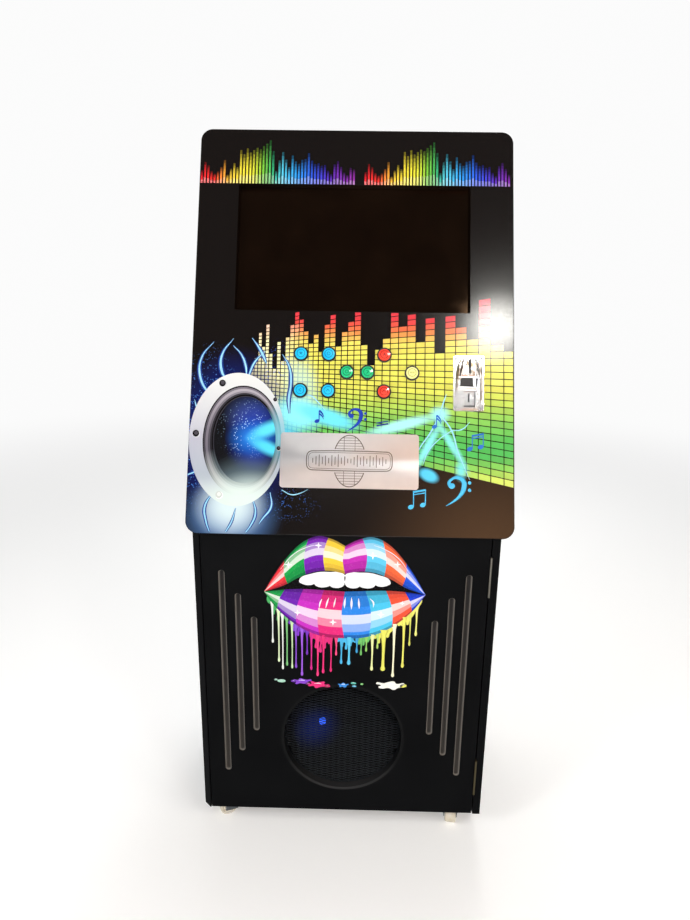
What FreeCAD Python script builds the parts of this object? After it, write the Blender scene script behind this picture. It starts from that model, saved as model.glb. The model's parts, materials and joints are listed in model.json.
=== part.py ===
import FreeCAD, Part
import Sketcher
import os
import re

# A floor-standing coin-operated jukebox cabinet on castors: a lower box with a hinged speaker door,
# and a large flat front board that leans back and carries the screen, buttons and coin mechanism.
# Own frame: origin on the floor under the middle of the cabinet, +Z up, the front faces -Y. Millimetres.

SIZES = {
    # cabinet
    "board": 18, "depth": 480, "body_width": 692, "body_shift": -8, "body_setback": 30,
    "body_bottom": 62, "body_top": 1665, "corner_chamfer": 16, "back_board": 12, "back_inset": 6,
    "top_rebate": 6, "shelf_height": 735, "shelf_front": -165, "rail_height": 110, "rail_bottom": 766,
    # leaning front board
    "panel_width": 720, "panel_length": 932, "panel_lean": 21.5, "panel_corner": 27,
    "panel_bottom": 814, "panel_edge_round": 1.5,
    "screen_width": 531, "screen_height": 297, "screen_up": 651, "screen_across": -3,
    # buttons
    "column_blue_outer": -115, "column_blue_inner": -53, "column_green_outer": -12,
    "column_green_inner": 34, "column_red": 71, "column_yellow": 133,
    "row_high": 403, "row_middle": 363, "row_low": 320,
    "rim_radius": 16.5, "rim_height": 5, "barrel_radius": 14, "barrel_bore": 12.6, "barrel_end": 30,
    "cap_radius": 13.1, "cap_pocket": 13.5, "cap_underside": 4.4, "cap_top": 8.4, "stem_radius": 12.3,
    "stem_end": 25,
    "switch_width": 20, "switch_height": 11, "switch_depth": 18,
    "panel_hole": 14.2, "nut_radius": 18, "nut_height": 7, "shoulder": 1.2,
    # coin mechanism
    "coin_across": 258.7, "coin_up": 342.4, "face_width": 68, "face_height": 125, "face_thick": 2.5,
    "mech_width": 54, "mech_height": 104, "mech_depth": 58, "slot_width": 3.6,
    "reject_width": 28, "reject_height": 19, "cup_width": 26, "cup_height": 36, "cup_depth": 30,
    "flap_thick": 1.5, "flap_pivot": 0.85, "coin_screw_across": 28.5, "coin_screw_head": 3.4,
    # steel name plate
    "plate_width": 305, "plate_height": 122, "plate_across": -2.5, "plate_up": 164.5, "plate_thick": 1.5,
    # door
    "door_gap": 2, "door_height": 738, "hinge_gap": 2.6, "speaker_up": 212.7, "speaker_hole": 142.5,
    "groove_radius": 7.5, "groove_centre": 0.5, "groove_middle": 381.5,
    "groove_outer": 281, "groove_step": 36, "groove_long": 540, "groove_mid": 425, "groove_short": 308,
    # hinges
    "hinge_long": 97, "hinge_low": 61, "hinge_high": 598, "knuckle_radius": 2.5, "hinge_pin": 1.2,
    "hinge_out": 2.7, "hinge_in": 1, "leaf_thick": 1.2, "leaf_reach": 17.5,
    # woofer
    "cone_radius": 119, "frame_radius": 157, "grille_thick": 1.6, "basket_mouth": 143.1, "basket_back": 82,
    "magnet_radius": 72, "magnet_back": 122, "coil_radius": 26.2, "bolt_circle": 151.5,
    # lock
    "lock_height": 400, "lock_back": 60, "cam_reach": 38,
    # mains inlet
    "inlet_across": -208, "inlet_up": 190,
    # castors
    "castor_across": 283, "castor_front": 62, "castor_back": 50, "wheel_radius": 22, "wheel_width": 28,
    "castor_trail": 16, "castor_plate": 46, "axle_radius": 3,
    # what stands on the shelf
    "computer_side": 180, "computer_height": 60, "amplifier_width": 200, "amplifier_depth": 220,
    "amplifier_height": 70, "cash_width": 110, "cash_depth": 180, "cash_wall": 3,
}

os.makedirs("parts", exist_ok=True)
doc = FreeCAD.newDocument("jukebox_cabinet")
sheet = doc.addObject("Spreadsheet::Sheet", "Sizes")
for row, (alias, number) in enumerate(SIZES.items(), start=1):
    sheet.set(f"A{row}", alias)
    sheet.set(f"B{row}", str(number))
    sheet.setAlias(f"B{row}", alias)
doc.recompute()

X_AXIS = FreeCAD.Vector(1, 0, 0)
Z_AXIS = FreeCAD.Vector(0, 0, 1)
nodes = []


def bound(text):
    """The rule with each size that it names looked up in the sheet."""
    return re.sub(r"[a-z][a-z_]+", lambda word: f"Sizes.{word[0]}" if word[0] in SIZES else word[0], str(text))


def value(text):
    """What the rule comes to, as a number."""
    found = sheet.evalExpression(bound(text))
    return float(getattr(found, "Value", found))


def point(x, y, z):
    return FreeCAD.Vector(value(x), value(y), value(z))


def bind(item, rules):
    for path, text in rules.items():
        item.setExpression(path, bound(text))


def keep(item, label, place=None):
    """Names a finished piece, puts it in its place and lists it for writing."""
    item.Label = label
    if place is not None:
        item.Placement = place
    nodes.append(item)
    return item


PANEL = FreeCAD.Placement(
    point(0, "-depth / 2", "panel_bottom"), FreeCAD.Rotation(X_AXIS, 90 - value("panel_lean")))
DOOR = FreeCAD.Placement(
    point("body_shift", "body_setback - depth / 2", "body_bottom"), FreeCAD.Rotation(X_AXIS, 90))

front_y = "(body_setback - depth / 2)"
left_x = "(body_shift - body_width / 2)"
right_x = "(body_shift + body_width / 2)"
inner_width = "(body_width - 2 * board)"
back_of_panel_low = "(panel_bottom - board * sin(panel_lean))"
back_plane_y = "(depth / 2 - back_inset - back_board)"


def behind_panel(height):
    """Y of the leaning board's back face at that height."""
    return (f"(board * cos(panel_lean) - depth / 2"
            f" + (({height}) - {back_of_panel_low}) * tan(panel_lean))")


def box(label, corner, sides):
    item = doc.addObject("Part::Box", label)
    bind(item, dict(zip(("Length", "Width", "Height"), sides)))
    bind(item, dict(zip(("Placement.Base.x", "Placement.Base.y", "Placement.Base.z"), corner)))
    return item


def rod(label, centre, radius, length, turn=None):
    """A cylinder from centre along +Z, or along the axis that turn makes of it."""
    item = doc.addObject("Part::Cylinder", label)
    if turn is not None:
        item.Placement = FreeCAD.Placement(FreeCAD.Vector(), turn)
    bind(item, {"Radius": radius, "Height": length})
    bind(item, dict(zip(("Placement.Base.x", "Placement.Base.y", "Placement.Base.z"), centre)))
    return item


def ball(label, centre, radius):
    item = doc.addObject("Part::Sphere", label)
    bind(item, {"Radius": radius})
    bind(item, dict(zip(("Placement.Base.x", "Placement.Base.y", "Placement.Base.z"), centre)))
    return item


def fuse(label, items):
    item = doc.addObject("Part::MultiFuse", label)
    item.Shapes = items
    return item


def cut(label, base, tool):
    item = doc.addObject("Part::Cut", label)
    item.Base = base
    item.Tool = tool
    return item


def group(label, items):
    """Separate solids that belong in one node."""
    item = doc.addObject("Part::Compound", label)
    item.Links = items
    return item


ALONG_X = FreeCAD.Rotation(FreeCAD.Vector(0, 1, 0), 90)
ALONG_Y = FreeCAD.Rotation(X_AXIS, -90)


def new_body(label):
    return doc.addObject("PartDesign::Body", label)


def new_sketch(body, role, offset="0"):
    sketch = body.newObject("Sketcher::SketchObject", body.Name + "_sketch")
    plane = next(part for part in body.Origin.OriginFeatures if part.Role == role)
    sketch.AttachmentSupport = [(plane, "")]
    sketch.MapMode = "FlatFace"
    sketch.setExpression("AttachmentOffset.Base.z", bound(offset))
    return sketch


def hold(sketch, item, end, across, up):
    """Ties one point of the sketch to two rules, measured from the sketch's origin."""
    for kind, rule in (("DistanceX", across), ("DistanceY", up)):
        made = sketch.addConstraint(Sketcher.Constraint(kind, -1, 1, item, end, value(rule)))
        sketch.setExpression(f"Constraints[{made}]", bound(rule))


def outline(sketch, corners):
    """A closed outline of straight lines."""
    spots = [point(across, up, 0) for across, up in corners]
    first = sketch.GeometryCount
    for start, end in zip(spots, spots[1:] + spots[:1]):
        sketch.addGeometry(Part.LineSegment(start, end), False)
    for index in range(len(spots)):
        following = first + (index + 1) % len(spots)
        sketch.addConstraint(Sketcher.Constraint("Coincident", first + index, 2, following, 1))
    for index, (across, up) in enumerate(corners):
        hold(sketch, first + index, 1, across, up)


def rectangle(sketch, across, up, width, height):
    """A rectangle about its centre."""
    left, right = f"({across}) - ({width}) / 2", f"({across}) + ({width}) / 2"
    low, high = f"({up}) - ({height}) / 2", f"({up}) + ({height}) / 2"
    outline(sketch, [(left, low), (right, low), (right, high), (left, high)])


def circle(sketch, across, up, radius):
    made = sketch.addGeometry(Part.Circle(point(across, up, 0), Z_AXIS, value(radius)), False)
    hold(sketch, made, 3, across, up)
    size = sketch.addConstraint(Sketcher.Constraint("Radius", made, value(radius)))
    sketch.setExpression(f"Constraints[{size}]", bound(radius))


def pad(body, sketch, length, backwards=False):
    feature = body.newObject("PartDesign::Pad", body.Name + "_pad")
    feature.Profile = sketch
    feature.Reversed = backwards
    bind(feature, {"Length": length})
    doc.recompute()
    return feature


def pocket(body, sketch, depth):
    """Cuts away from the sketch's normal, and makes sure that it took something."""
    before = body.Shape.Volume
    feature = body.newObject("PartDesign::Pocket", body.Name + "_pocket")
    feature.Profile = sketch
    bind(feature, {"Length": depth})
    doc.recompute()
    if body.Shape.Volume > before - 1e-3:
        raise RuntimeError(f"{feature.Name} cut nothing")
    return feature


def revolve(body, sketch, axis="V_Axis"):
    feature = body.newObject("PartDesign::Revolution", body.Name + "_revolution")
    feature.Profile = sketch
    feature.ReferenceAxis = (sketch, [axis])
    feature.Angle = 360
    doc.recompute()
    return feature


def upright_edge(edge):
    return abs(edge.Vertexes[0].Z - edge.Vertexes[-1].Z) > 1


def soften(body, kind, feature, size, chosen, upright=False):
    """Rounds or chamfers the edges of the feature whose ends all pass the test."""
    names = [f"Edge{number}" for number, edge in enumerate(feature.Shape.Edges, start=1)
             if all(chosen(vertex.Point) for vertex in edge.Vertexes) and (upright_edge(edge) or not upright)]
    dressing = body.newObject(f"PartDesign::{kind}", f"{body.Name}_{kind.lower()}")
    dressing.Base = (feature, names)
    bind(dressing, {"Radius" if kind == "Fillet" else "Size": size})
    doc.recompute()
    return dressing


def round_corners(body, feature, radius):
    """Rounds the upright edges of a plate."""
    return soften(body, "Fillet", feature, radius, lambda spot: True, upright=True)


def near(number, rule):
    return abs(number - value(rule)) < 1e-4


def turned(label, profile, place=None, role="XZ_Plane", axis="V_Axis"):
    """A piece turned on a lathe from its half profile."""
    body = new_body(label)
    sketch = new_sketch(body, role)
    outline(sketch, profile)
    revolve(body, sketch, axis)
    return keep(body, label, place)


def side_panel(label, inner_x, chamfered):
    """A side board: upright at the front, then leaning back under the front board."""
    body = new_body(label)
    sketch = new_sketch(body, "YZ_Plane", inner_x)
    knee = f"{back_of_panel_low} + (body_setback - board * cos(panel_lean)) / tan(panel_lean)"
    top = "body_top - board"
    outline(sketch, [
        (front_y, "body_bottom"), (front_y, knee), (behind_panel(top), top),
        ("depth / 2", top), ("depth / 2", "body_bottom")])
    feature = pad(body, sketch, "board")
    if chamfered:
        soften(body, "Chamfer", feature, "corner_chamfer",
               lambda spot: near(spot.x, left_x) and near(spot.y, front_y))
        bore = new_sketch(body, "YZ_Plane", f"{inner_x} + board")
        circle(bore, f"{front_y} + lock_back", "body_bottom + lock_height", "9.6")
        pocket(body, bore, "board + 2")
    keep(body, label)


def flat_board(label, corner, sides):
    """A plain rectangular board, padded up from its underside."""
    body = new_body(label)
    sketch = new_sketch(body, "XY_Plane", corner[2])
    x, y = corner[0], corner[1]
    far_x, far_y = f"{x} + {sides[0]}", f"{y} + {sides[1]}"
    outline(sketch, [(x, y), (far_x, y), (far_x, far_y), (x, far_y)])
    pad(body, sketch, sides[2])
    return body


def top_board():
    """Its front edge lies against the leaning board, and its top face starts just behind it."""
    body = new_body("top_board")
    sketch = new_sketch(body, "YZ_Plane", left_x)
    low, step, high = "body_top - board", "body_top - top_rebate", "body_top"
    clear = "panel_length * sin(panel_lean) + board * cos(panel_lean) - depth / 2 + 1.5"
    outline(sketch, [
        (behind_panel(low), low), (behind_panel(step), step), (clear, step), (clear, high),
        ("depth / 2", high), ("depth / 2", low)])
    pad(body, sketch, "body_width")
    keep(body, "top_board")


def back_panel():
    """The rear cover, with ventilation slots and the cut-out for the mains inlet."""
    body = new_body("back_panel")
    sketch = new_sketch(body, "XZ_Plane", f"-{back_plane_y}")
    rectangle(sketch, "body_shift", "(body_top + body_bottom) / 2", f"{inner_width} - 1",
              "body_top - body_bottom - 2 * board")
    pad(body, sketch, "back_board", backwards=True)
    holes = new_sketch(body, "XZ_Plane", f"-{back_plane_y}")
    for height in ("1480", "1300"):
        for step in range(-4, 5):
            rectangle(holes, f"body_shift + {step * 28}", height, "10", "120")
    rectangle(holes, "inlet_across", "inlet_up", "50", "60")
    pocket(body, holes, "back_board + 2")
    keep(body, "back_panel")


def front_panel():
    """The leaning board: rounded corners, screen opening, button holes and the coin cut-out."""
    body = new_body("front_panel")
    sketch = new_sketch(body, "XY_Plane")
    rectangle(sketch, "0", "panel_length / 2", "panel_width", "panel_length")
    feature = pad(body, sketch, "board", backwards=True)
    round_corners(body, feature, "panel_corner")
    holes = new_sketch(body, "XY_Plane")
    rectangle(holes, "screen_across", "screen_up", "screen_width", "screen_height")
    rectangle(holes, "coin_across", "coin_up", "mech_width + 2", "mech_height + 2")
    for _, column, line in BUTTONS:
        circle(holes, column, line, "panel_hole")
    opened = pocket(body, holes, "board + 2")
    outside = "panel_width / 2 - panel_corner - 1"
    soften(body, "Fillet", opened, "panel_edge_round",
           lambda spot: near(spot.z, "0") and (abs(spot.x) > value(outside)
                                               or spot.y < 40 or spot.y > value("panel_length - 40")))
    keep(body, "front_panel", PANEL)


def monitor():
    """A flat monitor clamped behind the opening by two straps."""
    housing = new_body("monitor_housing")
    sketch = new_sketch(housing, "XY_Plane", "-board")
    rectangle(sketch, "screen_across", "screen_up", "screen_width + 30", "screen_height + 34")
    pad(housing, sketch, "42", backwards=True)
    recess = new_sketch(housing, "XY_Plane", "-board")
    rectangle(recess, "screen_across", "screen_up", "screen_width + 4", "screen_height + 4")
    pocket(housing, recess, "6")
    keep(housing, "monitor_housing", PANEL)
    screen = new_body("monitor_screen")
    sketch = new_sketch(screen, "XY_Plane", "-board - 6")
    rectangle(sketch, "screen_across", "screen_up", "screen_width + 3", "screen_height + 3")
    pad(screen, sketch, "5")
    keep(screen, "monitor_screen", PANEL)
    straps = []
    low, high = "screen_up - screen_height / 2 - 17", "screen_up + screen_height / 2 + 17"
    for side in (-1, 1):
        strap = new_body(f"monitor_strap_{'left' if side < 0 else 'right'}")
        sketch = new_sketch(strap, "YZ_Plane", f"screen_across + {side * 150} - 15")
        outline(sketch, [
            (f"{low} - 30", "-board"), (f"{low} - 3", "-board"), (f"{low} - 3", "-board - 45"),
            (f"{high} + 3", "-board - 45"), (f"{high} + 3", "-board"), (f"{high} + 30", "-board"),
            (f"{high} + 30", "-board - 3"), (f"{high} + 6", "-board - 3"), (f"{high} + 6", "-board - 48"),
            (f"{low} - 6", "-board - 48"), (f"{low} - 6", "-board - 3"), (f"{low} - 30", "-board - 3")])
        pad(strap, sketch, "30")
        straps.append(strap)
    keep(group("monitor_brackets", straps), "monitor_brackets", PANEL)


BUTTONS = (
    ("blue_one", "column_blue_outer", "row_high"), ("blue_two", "column_blue_inner", "row_high"),
    ("blue_three", "column_blue_outer", "row_low"), ("blue_four", "column_blue_inner", "row_low"),
    ("green_one", "column_green_outer", "row_middle"), ("green_two", "column_green_inner", "row_middle"),
    ("red_one", "column_red", "row_high"), ("red_two", "column_red", "row_low"),
    ("yellow_one", "column_yellow", "row_middle"))


def buttons():
    """Nine push buttons: a threaded bezel, a nut behind the board, a switch, and a sprung cap."""
    bezels, nuts, switches = [], [], []
    for name, column, line in BUTTONS:
        rim = rod(f"rim_{name}", (column, line, "0"), "rim_radius", "rim_height")
        barrel = rod(f"barrel_{name}", (column, line, "-barrel_end"), "barrel_radius", "barrel_end + 1")
        bore = rod(f"bore_{name}", (column, line, "-barrel_end - 1"), "barrel_bore",
                   "barrel_end + rim_height + 2")
        seat = rod(f"seat_{name}", (column, line, "shoulder"), "cap_pocket", "rim_height")
        whole = fuse(f"bezel_blank_{name}", [rim, barrel])
        bezels.append(cut(f"bezel_{name}", whole, fuse(f"bezel_hollow_{name}", [bore, seat])))
        ring = rod(f"ring_{name}", (column, line, "-board - nut_height"), "nut_radius", "nut_height")
        hole = rod(f"ring_hole_{name}", (column, line, "-board - nut_height - 1"), "barrel_radius",
                   "nut_height + 2")
        nuts.append(cut(f"nut_{name}", ring, hole))
        switches.append(box(
            f"switch_{name}",
            (f"{column} - switch_width / 2", f"{line} - switch_height / 2", "-barrel_end - switch_depth"),
            ("switch_width", "switch_height", "switch_depth")))
        profile = [
            ("0", "-stem_end"), ("stem_radius", "-stem_end"), ("stem_radius", "cap_underside"),
            ("cap_radius", "cap_underside"), ("cap_radius", "cap_top - 1.6"),
            ("cap_radius - 1.1", "cap_top - 0.5"), ("cap_radius / 2", "cap_top + 0.4"), ("0", "cap_top + 0.7")]
        place = PANEL.multiply(FreeCAD.Placement(point(column, line, 0), FreeCAD.Rotation()))
        turned(f"button_{name}", profile, place)
    keep(group("button_bezels", bezels), "button_bezels", PANEL)
    keep(group("button_nuts", nuts), "button_nuts", PANEL)
    keep(group("button_switches", switches), "button_switches", PANEL)


def at_coin(across, up):
    """A place on the coin plate, measured from its middle."""
    return f"(coin_across + {across})", f"(coin_up + {up})"


def coin_faceplate():
    """A chromed plate with a raised slotted head, a framed reject button and a hooded return cup."""
    body = new_body("coin_faceplate")
    sketch = new_sketch(body, "XY_Plane")
    rectangle(sketch, "coin_across", "coin_up", "face_width", "face_height")
    round_corners(body, pad(body, sketch, "face_thick"), "4")
    frame = new_sketch(body, "XY_Plane", "face_thick")
    rectangle(frame, *at_coin("0", "2"), "44", "27")
    pad(body, frame, "3")
    head = new_sketch(body, "XY_Plane", "face_thick")
    outline(head, [at_coin(*spot) for spot in (("-14", "60"), ("-16.5", "17"), ("16.5", "17"), ("14", "60"))])
    headed = pad(body, head, "8")
    soften(body, "Fillet", headed, "2.5", lambda spot: near(spot.z, "face_thick + 8"))
    hood = new_sketch(body, "XY_Plane", "face_thick")
    rectangle(hood, *at_coin("1", "-36"), "38", "46")
    hooded = pad(body, hood, "5")
    arched = soften(body, "Fillet", hooded, "17", lambda spot: spot.z > value("face_thick - 0.1")
                    and near(spot.y, "coin_up - 13"), upright=True)
    soften(body, "Fillet", arched, "1.5", lambda spot: near(spot.z, "face_thick + 5"))
    openings = new_sketch(body, "XY_Plane", "face_thick + 9")
    rectangle(openings, *at_coin("1", "-36"), "cup_width", "cup_height")
    rectangle(openings, *at_coin("-5", "2"), "reject_width + 0.8", "reject_height + 0.8")
    rectangle(openings, *at_coin("17", "2"), "4", "19")
    rectangle(openings, *at_coin("0", "40"), "slot_width", "31")
    pocket(body, openings, "face_thick + 10")
    keep(body, "coin_faceplate", PANEL)


def coin_mechanism():
    """The acceptor behind the plate, with its reject button, return flap and the plate's screws."""
    body = new_body("coin_mechanism")
    sketch = new_sketch(body, "XY_Plane")
    rectangle(sketch, "coin_across", "coin_up", "mech_width", "mech_height")
    pad(body, sketch, "mech_depth", backwards=True)
    cup = new_sketch(body, "XY_Plane")
    rectangle(cup, *at_coin("1", "-34"), "cup_width", "cup_height - 4")
    pocket(body, cup, "cup_depth")
    well = new_sketch(body, "XY_Plane")
    rectangle(well, *at_coin("-5", "2"), "reject_width + 0.8", "reject_height + 0.8")
    pocket(body, well, "20")
    slot = new_sketch(body, "XY_Plane")
    rectangle(slot, *at_coin("0", "40"), "slot_width", "20")
    pocket(body, slot, "40")
    keep(body, "coin_mechanism", PANEL)
    button = new_body("coin_reject_button")
    sketch = new_sketch(button, "XY_Plane", "-13")
    rectangle(sketch, *at_coin("-5", "2"), "reject_width", "reject_height")
    pushed = pad(button, sketch, "face_thick + 18.5")
    soften(button, "Fillet", pushed, "1.5", lambda spot: near(spot.z, "face_thick + 5.5"))
    keep(button, "coin_reject_button", PANEL)
    flap = new_body("coin_flap_plate")
    sketch = new_sketch(flap, "XY_Plane", "-0.3 - flap_thick")
    rectangle(sketch, *at_coin("1", "-33.8"), "cup_width - 1.2", "cup_height - 5.6")
    pad(flap, sketch, "flap_thick")
    slit = new_sketch(flap, "XY_Plane", "1")
    rectangle(slit, *at_coin("0.5", "-32"), "slot_width", "20")
    pocket(flap, slit, "4")
    pivot = rod("coin_flap_pivot", (*at_coin("1 - (cup_width - 1.2) / 2", "-18.9"), "-0.3 - flap_thick / 2"),
                "flap_pivot", "cup_width - 1.2", ALONG_X)
    keep(fuse("coin_flap_and_pivot", [flap, pivot]), "coin_return_flap", PANEL)
    screws = []
    for index, (side, up) in enumerate(((-1, "56"), (1, "56"), (-1, "-54"), (1, "-54"))):
        across, up = at_coin(f"{side} * coin_screw_across", up)
        head = rod(f"coin_screw_head_{index}", (across, up, "face_thick"), "coin_screw_head", "2")
        drive = box(f"coin_screw_slot_{index}", (f"{across} - 4", f"{up} - 0.5", "face_thick + 1.2"),
                    ("8", "1", "2"))
        screws.append(cut(f"coin_screw_{index}", head, drive))
    keep(group("coin_plate_screws", screws), "coin_plate_screws", PANEL)


def name_plate():
    """A stainless plate engraved with a plain ringed disc and a row of level bars."""
    body = new_body("name_plate")
    sketch = new_sketch(body, "XY_Plane")
    rectangle(sketch, "plate_across", "plate_up", "plate_width", "plate_height")
    feature = pad(body, sketch, "plate_thick")
    round_corners(body, feature, "7")
    engraving = new_sketch(body, "XY_Plane", "plate_thick")
    for radius in (46, 37, 28, 19):
        circle(engraving, "plate_across", "plate_up", str(radius))
        circle(engraving, "plate_across", "plate_up", str(radius - 1.6))
    for side in (-1, 1):
        for step, height in enumerate((58, 44, 52, 30, 38, 18)):
            rectangle(engraving, f"plate_across + {side * (58 + 11 * step)}", "plate_up", "5", str(height))
    pocket(body, engraving, "0.4")
    keep(body, "name_plate", PANEL)


def door_panel():
    """The flat door, with the speaker opening and three round-nosed grooves down each side."""
    board = new_body("door_board")
    sketch = new_sketch(board, "XY_Plane")
    left = "door_gap + board - body_width / 2"
    right = "body_width / 2 - board - hinge_gap"
    top = "door_gap + door_height"
    outline(sketch, [(left, "door_gap"), (right, "door_gap"), (right, top), (left, top)])
    pad(board, sketch, "board", backwards=True)
    opening = new_sketch(board, "XY_Plane")
    circle(opening, "0", "speaker_up", "speaker_hole")
    pocket(board, opening, "board + 2")
    cutters = []
    for side in (-1, 1):
        for step, length in enumerate(("groove_long", "groove_mid", "groove_short")):
            name = f"{'left' if side < 0 else 'right'}_{step}"
            across = f"{side} * (groove_outer - {step} * groove_step)"
            low = f"groove_middle - {length} / 2 + groove_radius"
            high = f"groove_middle + {length} / 2 - groove_radius"
            cutters.append(rod(f"groove_{name}", (across, low, "groove_centre"), "groove_radius",
                               f"{length} - 2 * groove_radius", ALONG_Y))
            cutters.append(ball(f"groove_low_{name}", (across, low, "groove_centre"), "groove_radius"))
            cutters.append(ball(f"groove_high_{name}", (across, high, "groove_centre"), "groove_radius"))
    keep(cut("door_panel", board, fuse("groove_cutters", cutters)), "door_panel", DOOR)


def woofer():
    """A twelve-inch bass speaker bolted behind the opening, with its grille between it and the door."""
    at_speaker = DOOR.multiply(FreeCAD.Placement(point(0, "speaker_up", 0), FreeCAD.Rotation()))
    grille = new_body("speaker_grille")
    sketch = new_sketch(grille, "XY_Plane", "-board")
    circle(sketch, "0", "0", "frame_radius + 3")
    pad(grille, sketch, "grille_thick", backwards=True)
    keep(grille, "speaker_grille", at_speaker)
    seat = "-board - grille_thick"
    rim, back = f"{seat} - 4.8", "-basket_back"
    turned("woofer_basket", [
        ("frame_radius", seat), ("frame_radius", rim), ("basket_mouth + 2.9", rim),
        ("basket_mouth + 2.9", "-38"),
        ("magnet_radius + 4", back), ("30", back), ("30", f"3 {back}"), ("magnet_radius + 2.5", f"3 {back}"),
        ("basket_mouth", "-36"), ("basket_mouth", seat)], at_speaker)
    turned("woofer_magnet", [
        ("0", "-magnet_back"), ("magnet_radius", "-magnet_back"), ("magnet_radius", back),
        ("coil_radius + 1.3", back), ("coil_radius + 1.3", "14 - magnet_back"),
        ("coil_radius - 3.2", "14 - magnet_back"), ("coil_radius - 3.2", f"{back} - 2"), ("0", f"{back} - 2")],
        at_speaker)
    turned("woofer_cone", [
        ("0", "-58.5"), ("coil_radius - 0.2", "-66.5"), ("cone_radius", "-23.9"), ("cone_radius", "-25.5"),
        ("coil_radius", "-70"), ("coil_radius", "-98"), ("coil_radius - 1.6", "-98"),
        ("coil_radius - 1.6", "-68.2"), ("0", "-60.2")], at_speaker)
    rolls = []
    for name, thick in (("outer", "12"), ("inner", "10.8")):
        roll = doc.addObject("Part::Torus", f"roll_{name}")
        bind(roll, {"Radius1": "cone_radius + 12", "Radius2": thick, "Placement.Base.z": "-24"})
        rolls.append(roll)
    above = box("roll_trim", ("-200", "-200", "-24"), ("400", "400", "30"))
    hollow = fuse("roll_hollow", [rolls[1], above])
    keep(cut("woofer_surround", rolls[0], hollow), "woofer_surround", at_speaker)
    keep(group("door_lamp", [rod("lamp", ("-50", "30", f"{seat} - 8"), "8", "8")]), "door_lamp", at_speaker)
    bolts = []
    for index in range(8):
        turn = f"{index * 45 + 22.5}"
        spot = (f"bolt_circle * cos({turn})", f"bolt_circle * sin({turn})", f"{rim} - 4")
        bolts.append(rod(f"woofer_bolt_{index}", spot, "4", "4"))
    keep(group("woofer_bolts", bolts), "woofer_bolts", at_speaker)


def hinge_leaf(name, foot, plate_in, segments):
    """One leaf of a butt hinge: a plate beside the pin, with every other knuckle rolled from it."""
    across = "(body_width / 2 - board - hinge_in)"
    part_height = "hinge_long / 5"
    pieces = [box(f"{name}_plate", (plate_in, f"hinge_{foot}", "-leaf_reach"),
                  ("leaf_thick", "hinge_long", "leaf_reach - 0.5"))]
    for index in segments:
        low = f"hinge_{foot} + {index} * {part_height} + 0.05"
        pieces.append(box(f"{name}_tab_{index}", (plate_in, low, "-0.6"),
                          ("leaf_thick", f"{part_height} - 0.1", "hinge_out + 0.6")))
        pieces.append(rod(f"{name}_knuckle_{index}", (across, low, "hinge_out"), "knuckle_radius",
                          f"{part_height} - 0.1", ALONG_Y))
    bore = rod(f"{name}_bore", (across, f"hinge_{foot} - 1", "hinge_out"), "hinge_pin + 0.06",
               "hinge_long + 2", ALONG_Y)
    return cut(name, fuse(f"{name}_blank", pieces), bore)


def hinges():
    """Two butt hinges between the door's right edge and the right side board."""
    on_frame, on_door, pins = [], [], []
    frame_face = "body_width / 2 - board"
    for foot in ("low", "high"):
        on_frame.append(hinge_leaf(f"frame_leaf_{foot}", foot, f"{frame_face} - leaf_thick", (0, 2, 4)))
        on_door.append(hinge_leaf(f"door_leaf_{foot}", foot, f"{frame_face} - hinge_gap", (1, 3)))
        pins.append(rod(f"pin_{foot}", (f"{frame_face} - hinge_in", f"hinge_{foot} - 0.5", "hinge_out"),
                        "hinge_pin", "hinge_long + 1", ALONG_Y))
    keep(group("hinge_frame_leaves", on_frame), "hinge_frame_leaves", DOOR)
    keep(group("hinge_door_leaves", on_door), "hinge_door_leaves", DOOR)
    keep(group("hinge_pins", pins), "hinge_pins", DOOR)


def lock():
    """A cam lock through the left side board; its cam turns down in front of the door's keeper."""
    high = "body_bottom + lock_height"
    away = f"({front_y} + lock_back)"
    start = left_x
    flange = rod("lock_flange", (f"{start} - 2.5", away, high), "12", "2.5", ALONG_X)
    barrel = rod("lock_barrel", (start, away, high), "9.4", "board + 10", ALONG_X)
    bore = rod("lock_bore", (f"{start} - 4", away, high), "6.6", "board + 16", ALONG_X)
    keep(cut("lock_housing", fuse("lock_blank", [flange, barrel]), bore), "lock_housing")
    plug = rod("lock_core", (f"{start} - 3.5", away, high), "6.3", "board + 16.5", ALONG_X)
    key_slot = box("lock_keyway", (f"{start} - 4", f"{away} - 0.8", f"{high} - 3.5"), ("3", "1.6", "7"))
    cam = box("lock_cam", (f"{start} + board + 10.5", f"{away} - cam_reach", f"{high} - 8"),
              ("2.5", "cam_reach + 8", "16"))
    keep(cut("lock_plug", fuse("lock_moving", [plug, cam]), key_slot), "lock_plug")
    keeper_x = f"({start} + board + 18)"
    foot = box("keeper_foot", (keeper_x, f"{front_y} + board", f"{high} - 52"), ("22", "2.5", "34"))
    stem = box("keeper_stem", (keeper_x, f"{front_y} + board", f"{high} - 52"),
               ("2.5", "lock_back - board + 14", "34"))
    lip = box("keeper_lip", (f"{keeper_x} - 12", f"{away} + 11.5", f"{high} - 52"), ("13", "2.5", "34"))
    keep(fuse("door_keeper", [foot, stem, lip]), "door_keeper")


CASTORS = (
    ("front_left", "body_shift - castor_across", "castor_front + body_setback - depth / 2", 112),
    ("front_right", "body_shift + castor_across", "castor_front + body_setback - depth / 2", 172),
    ("rear_left", "body_shift - castor_across", "depth / 2 - castor_back", -25),
    ("rear_right", "body_shift + castor_across", "depth / 2 - castor_back", 15))


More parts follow.
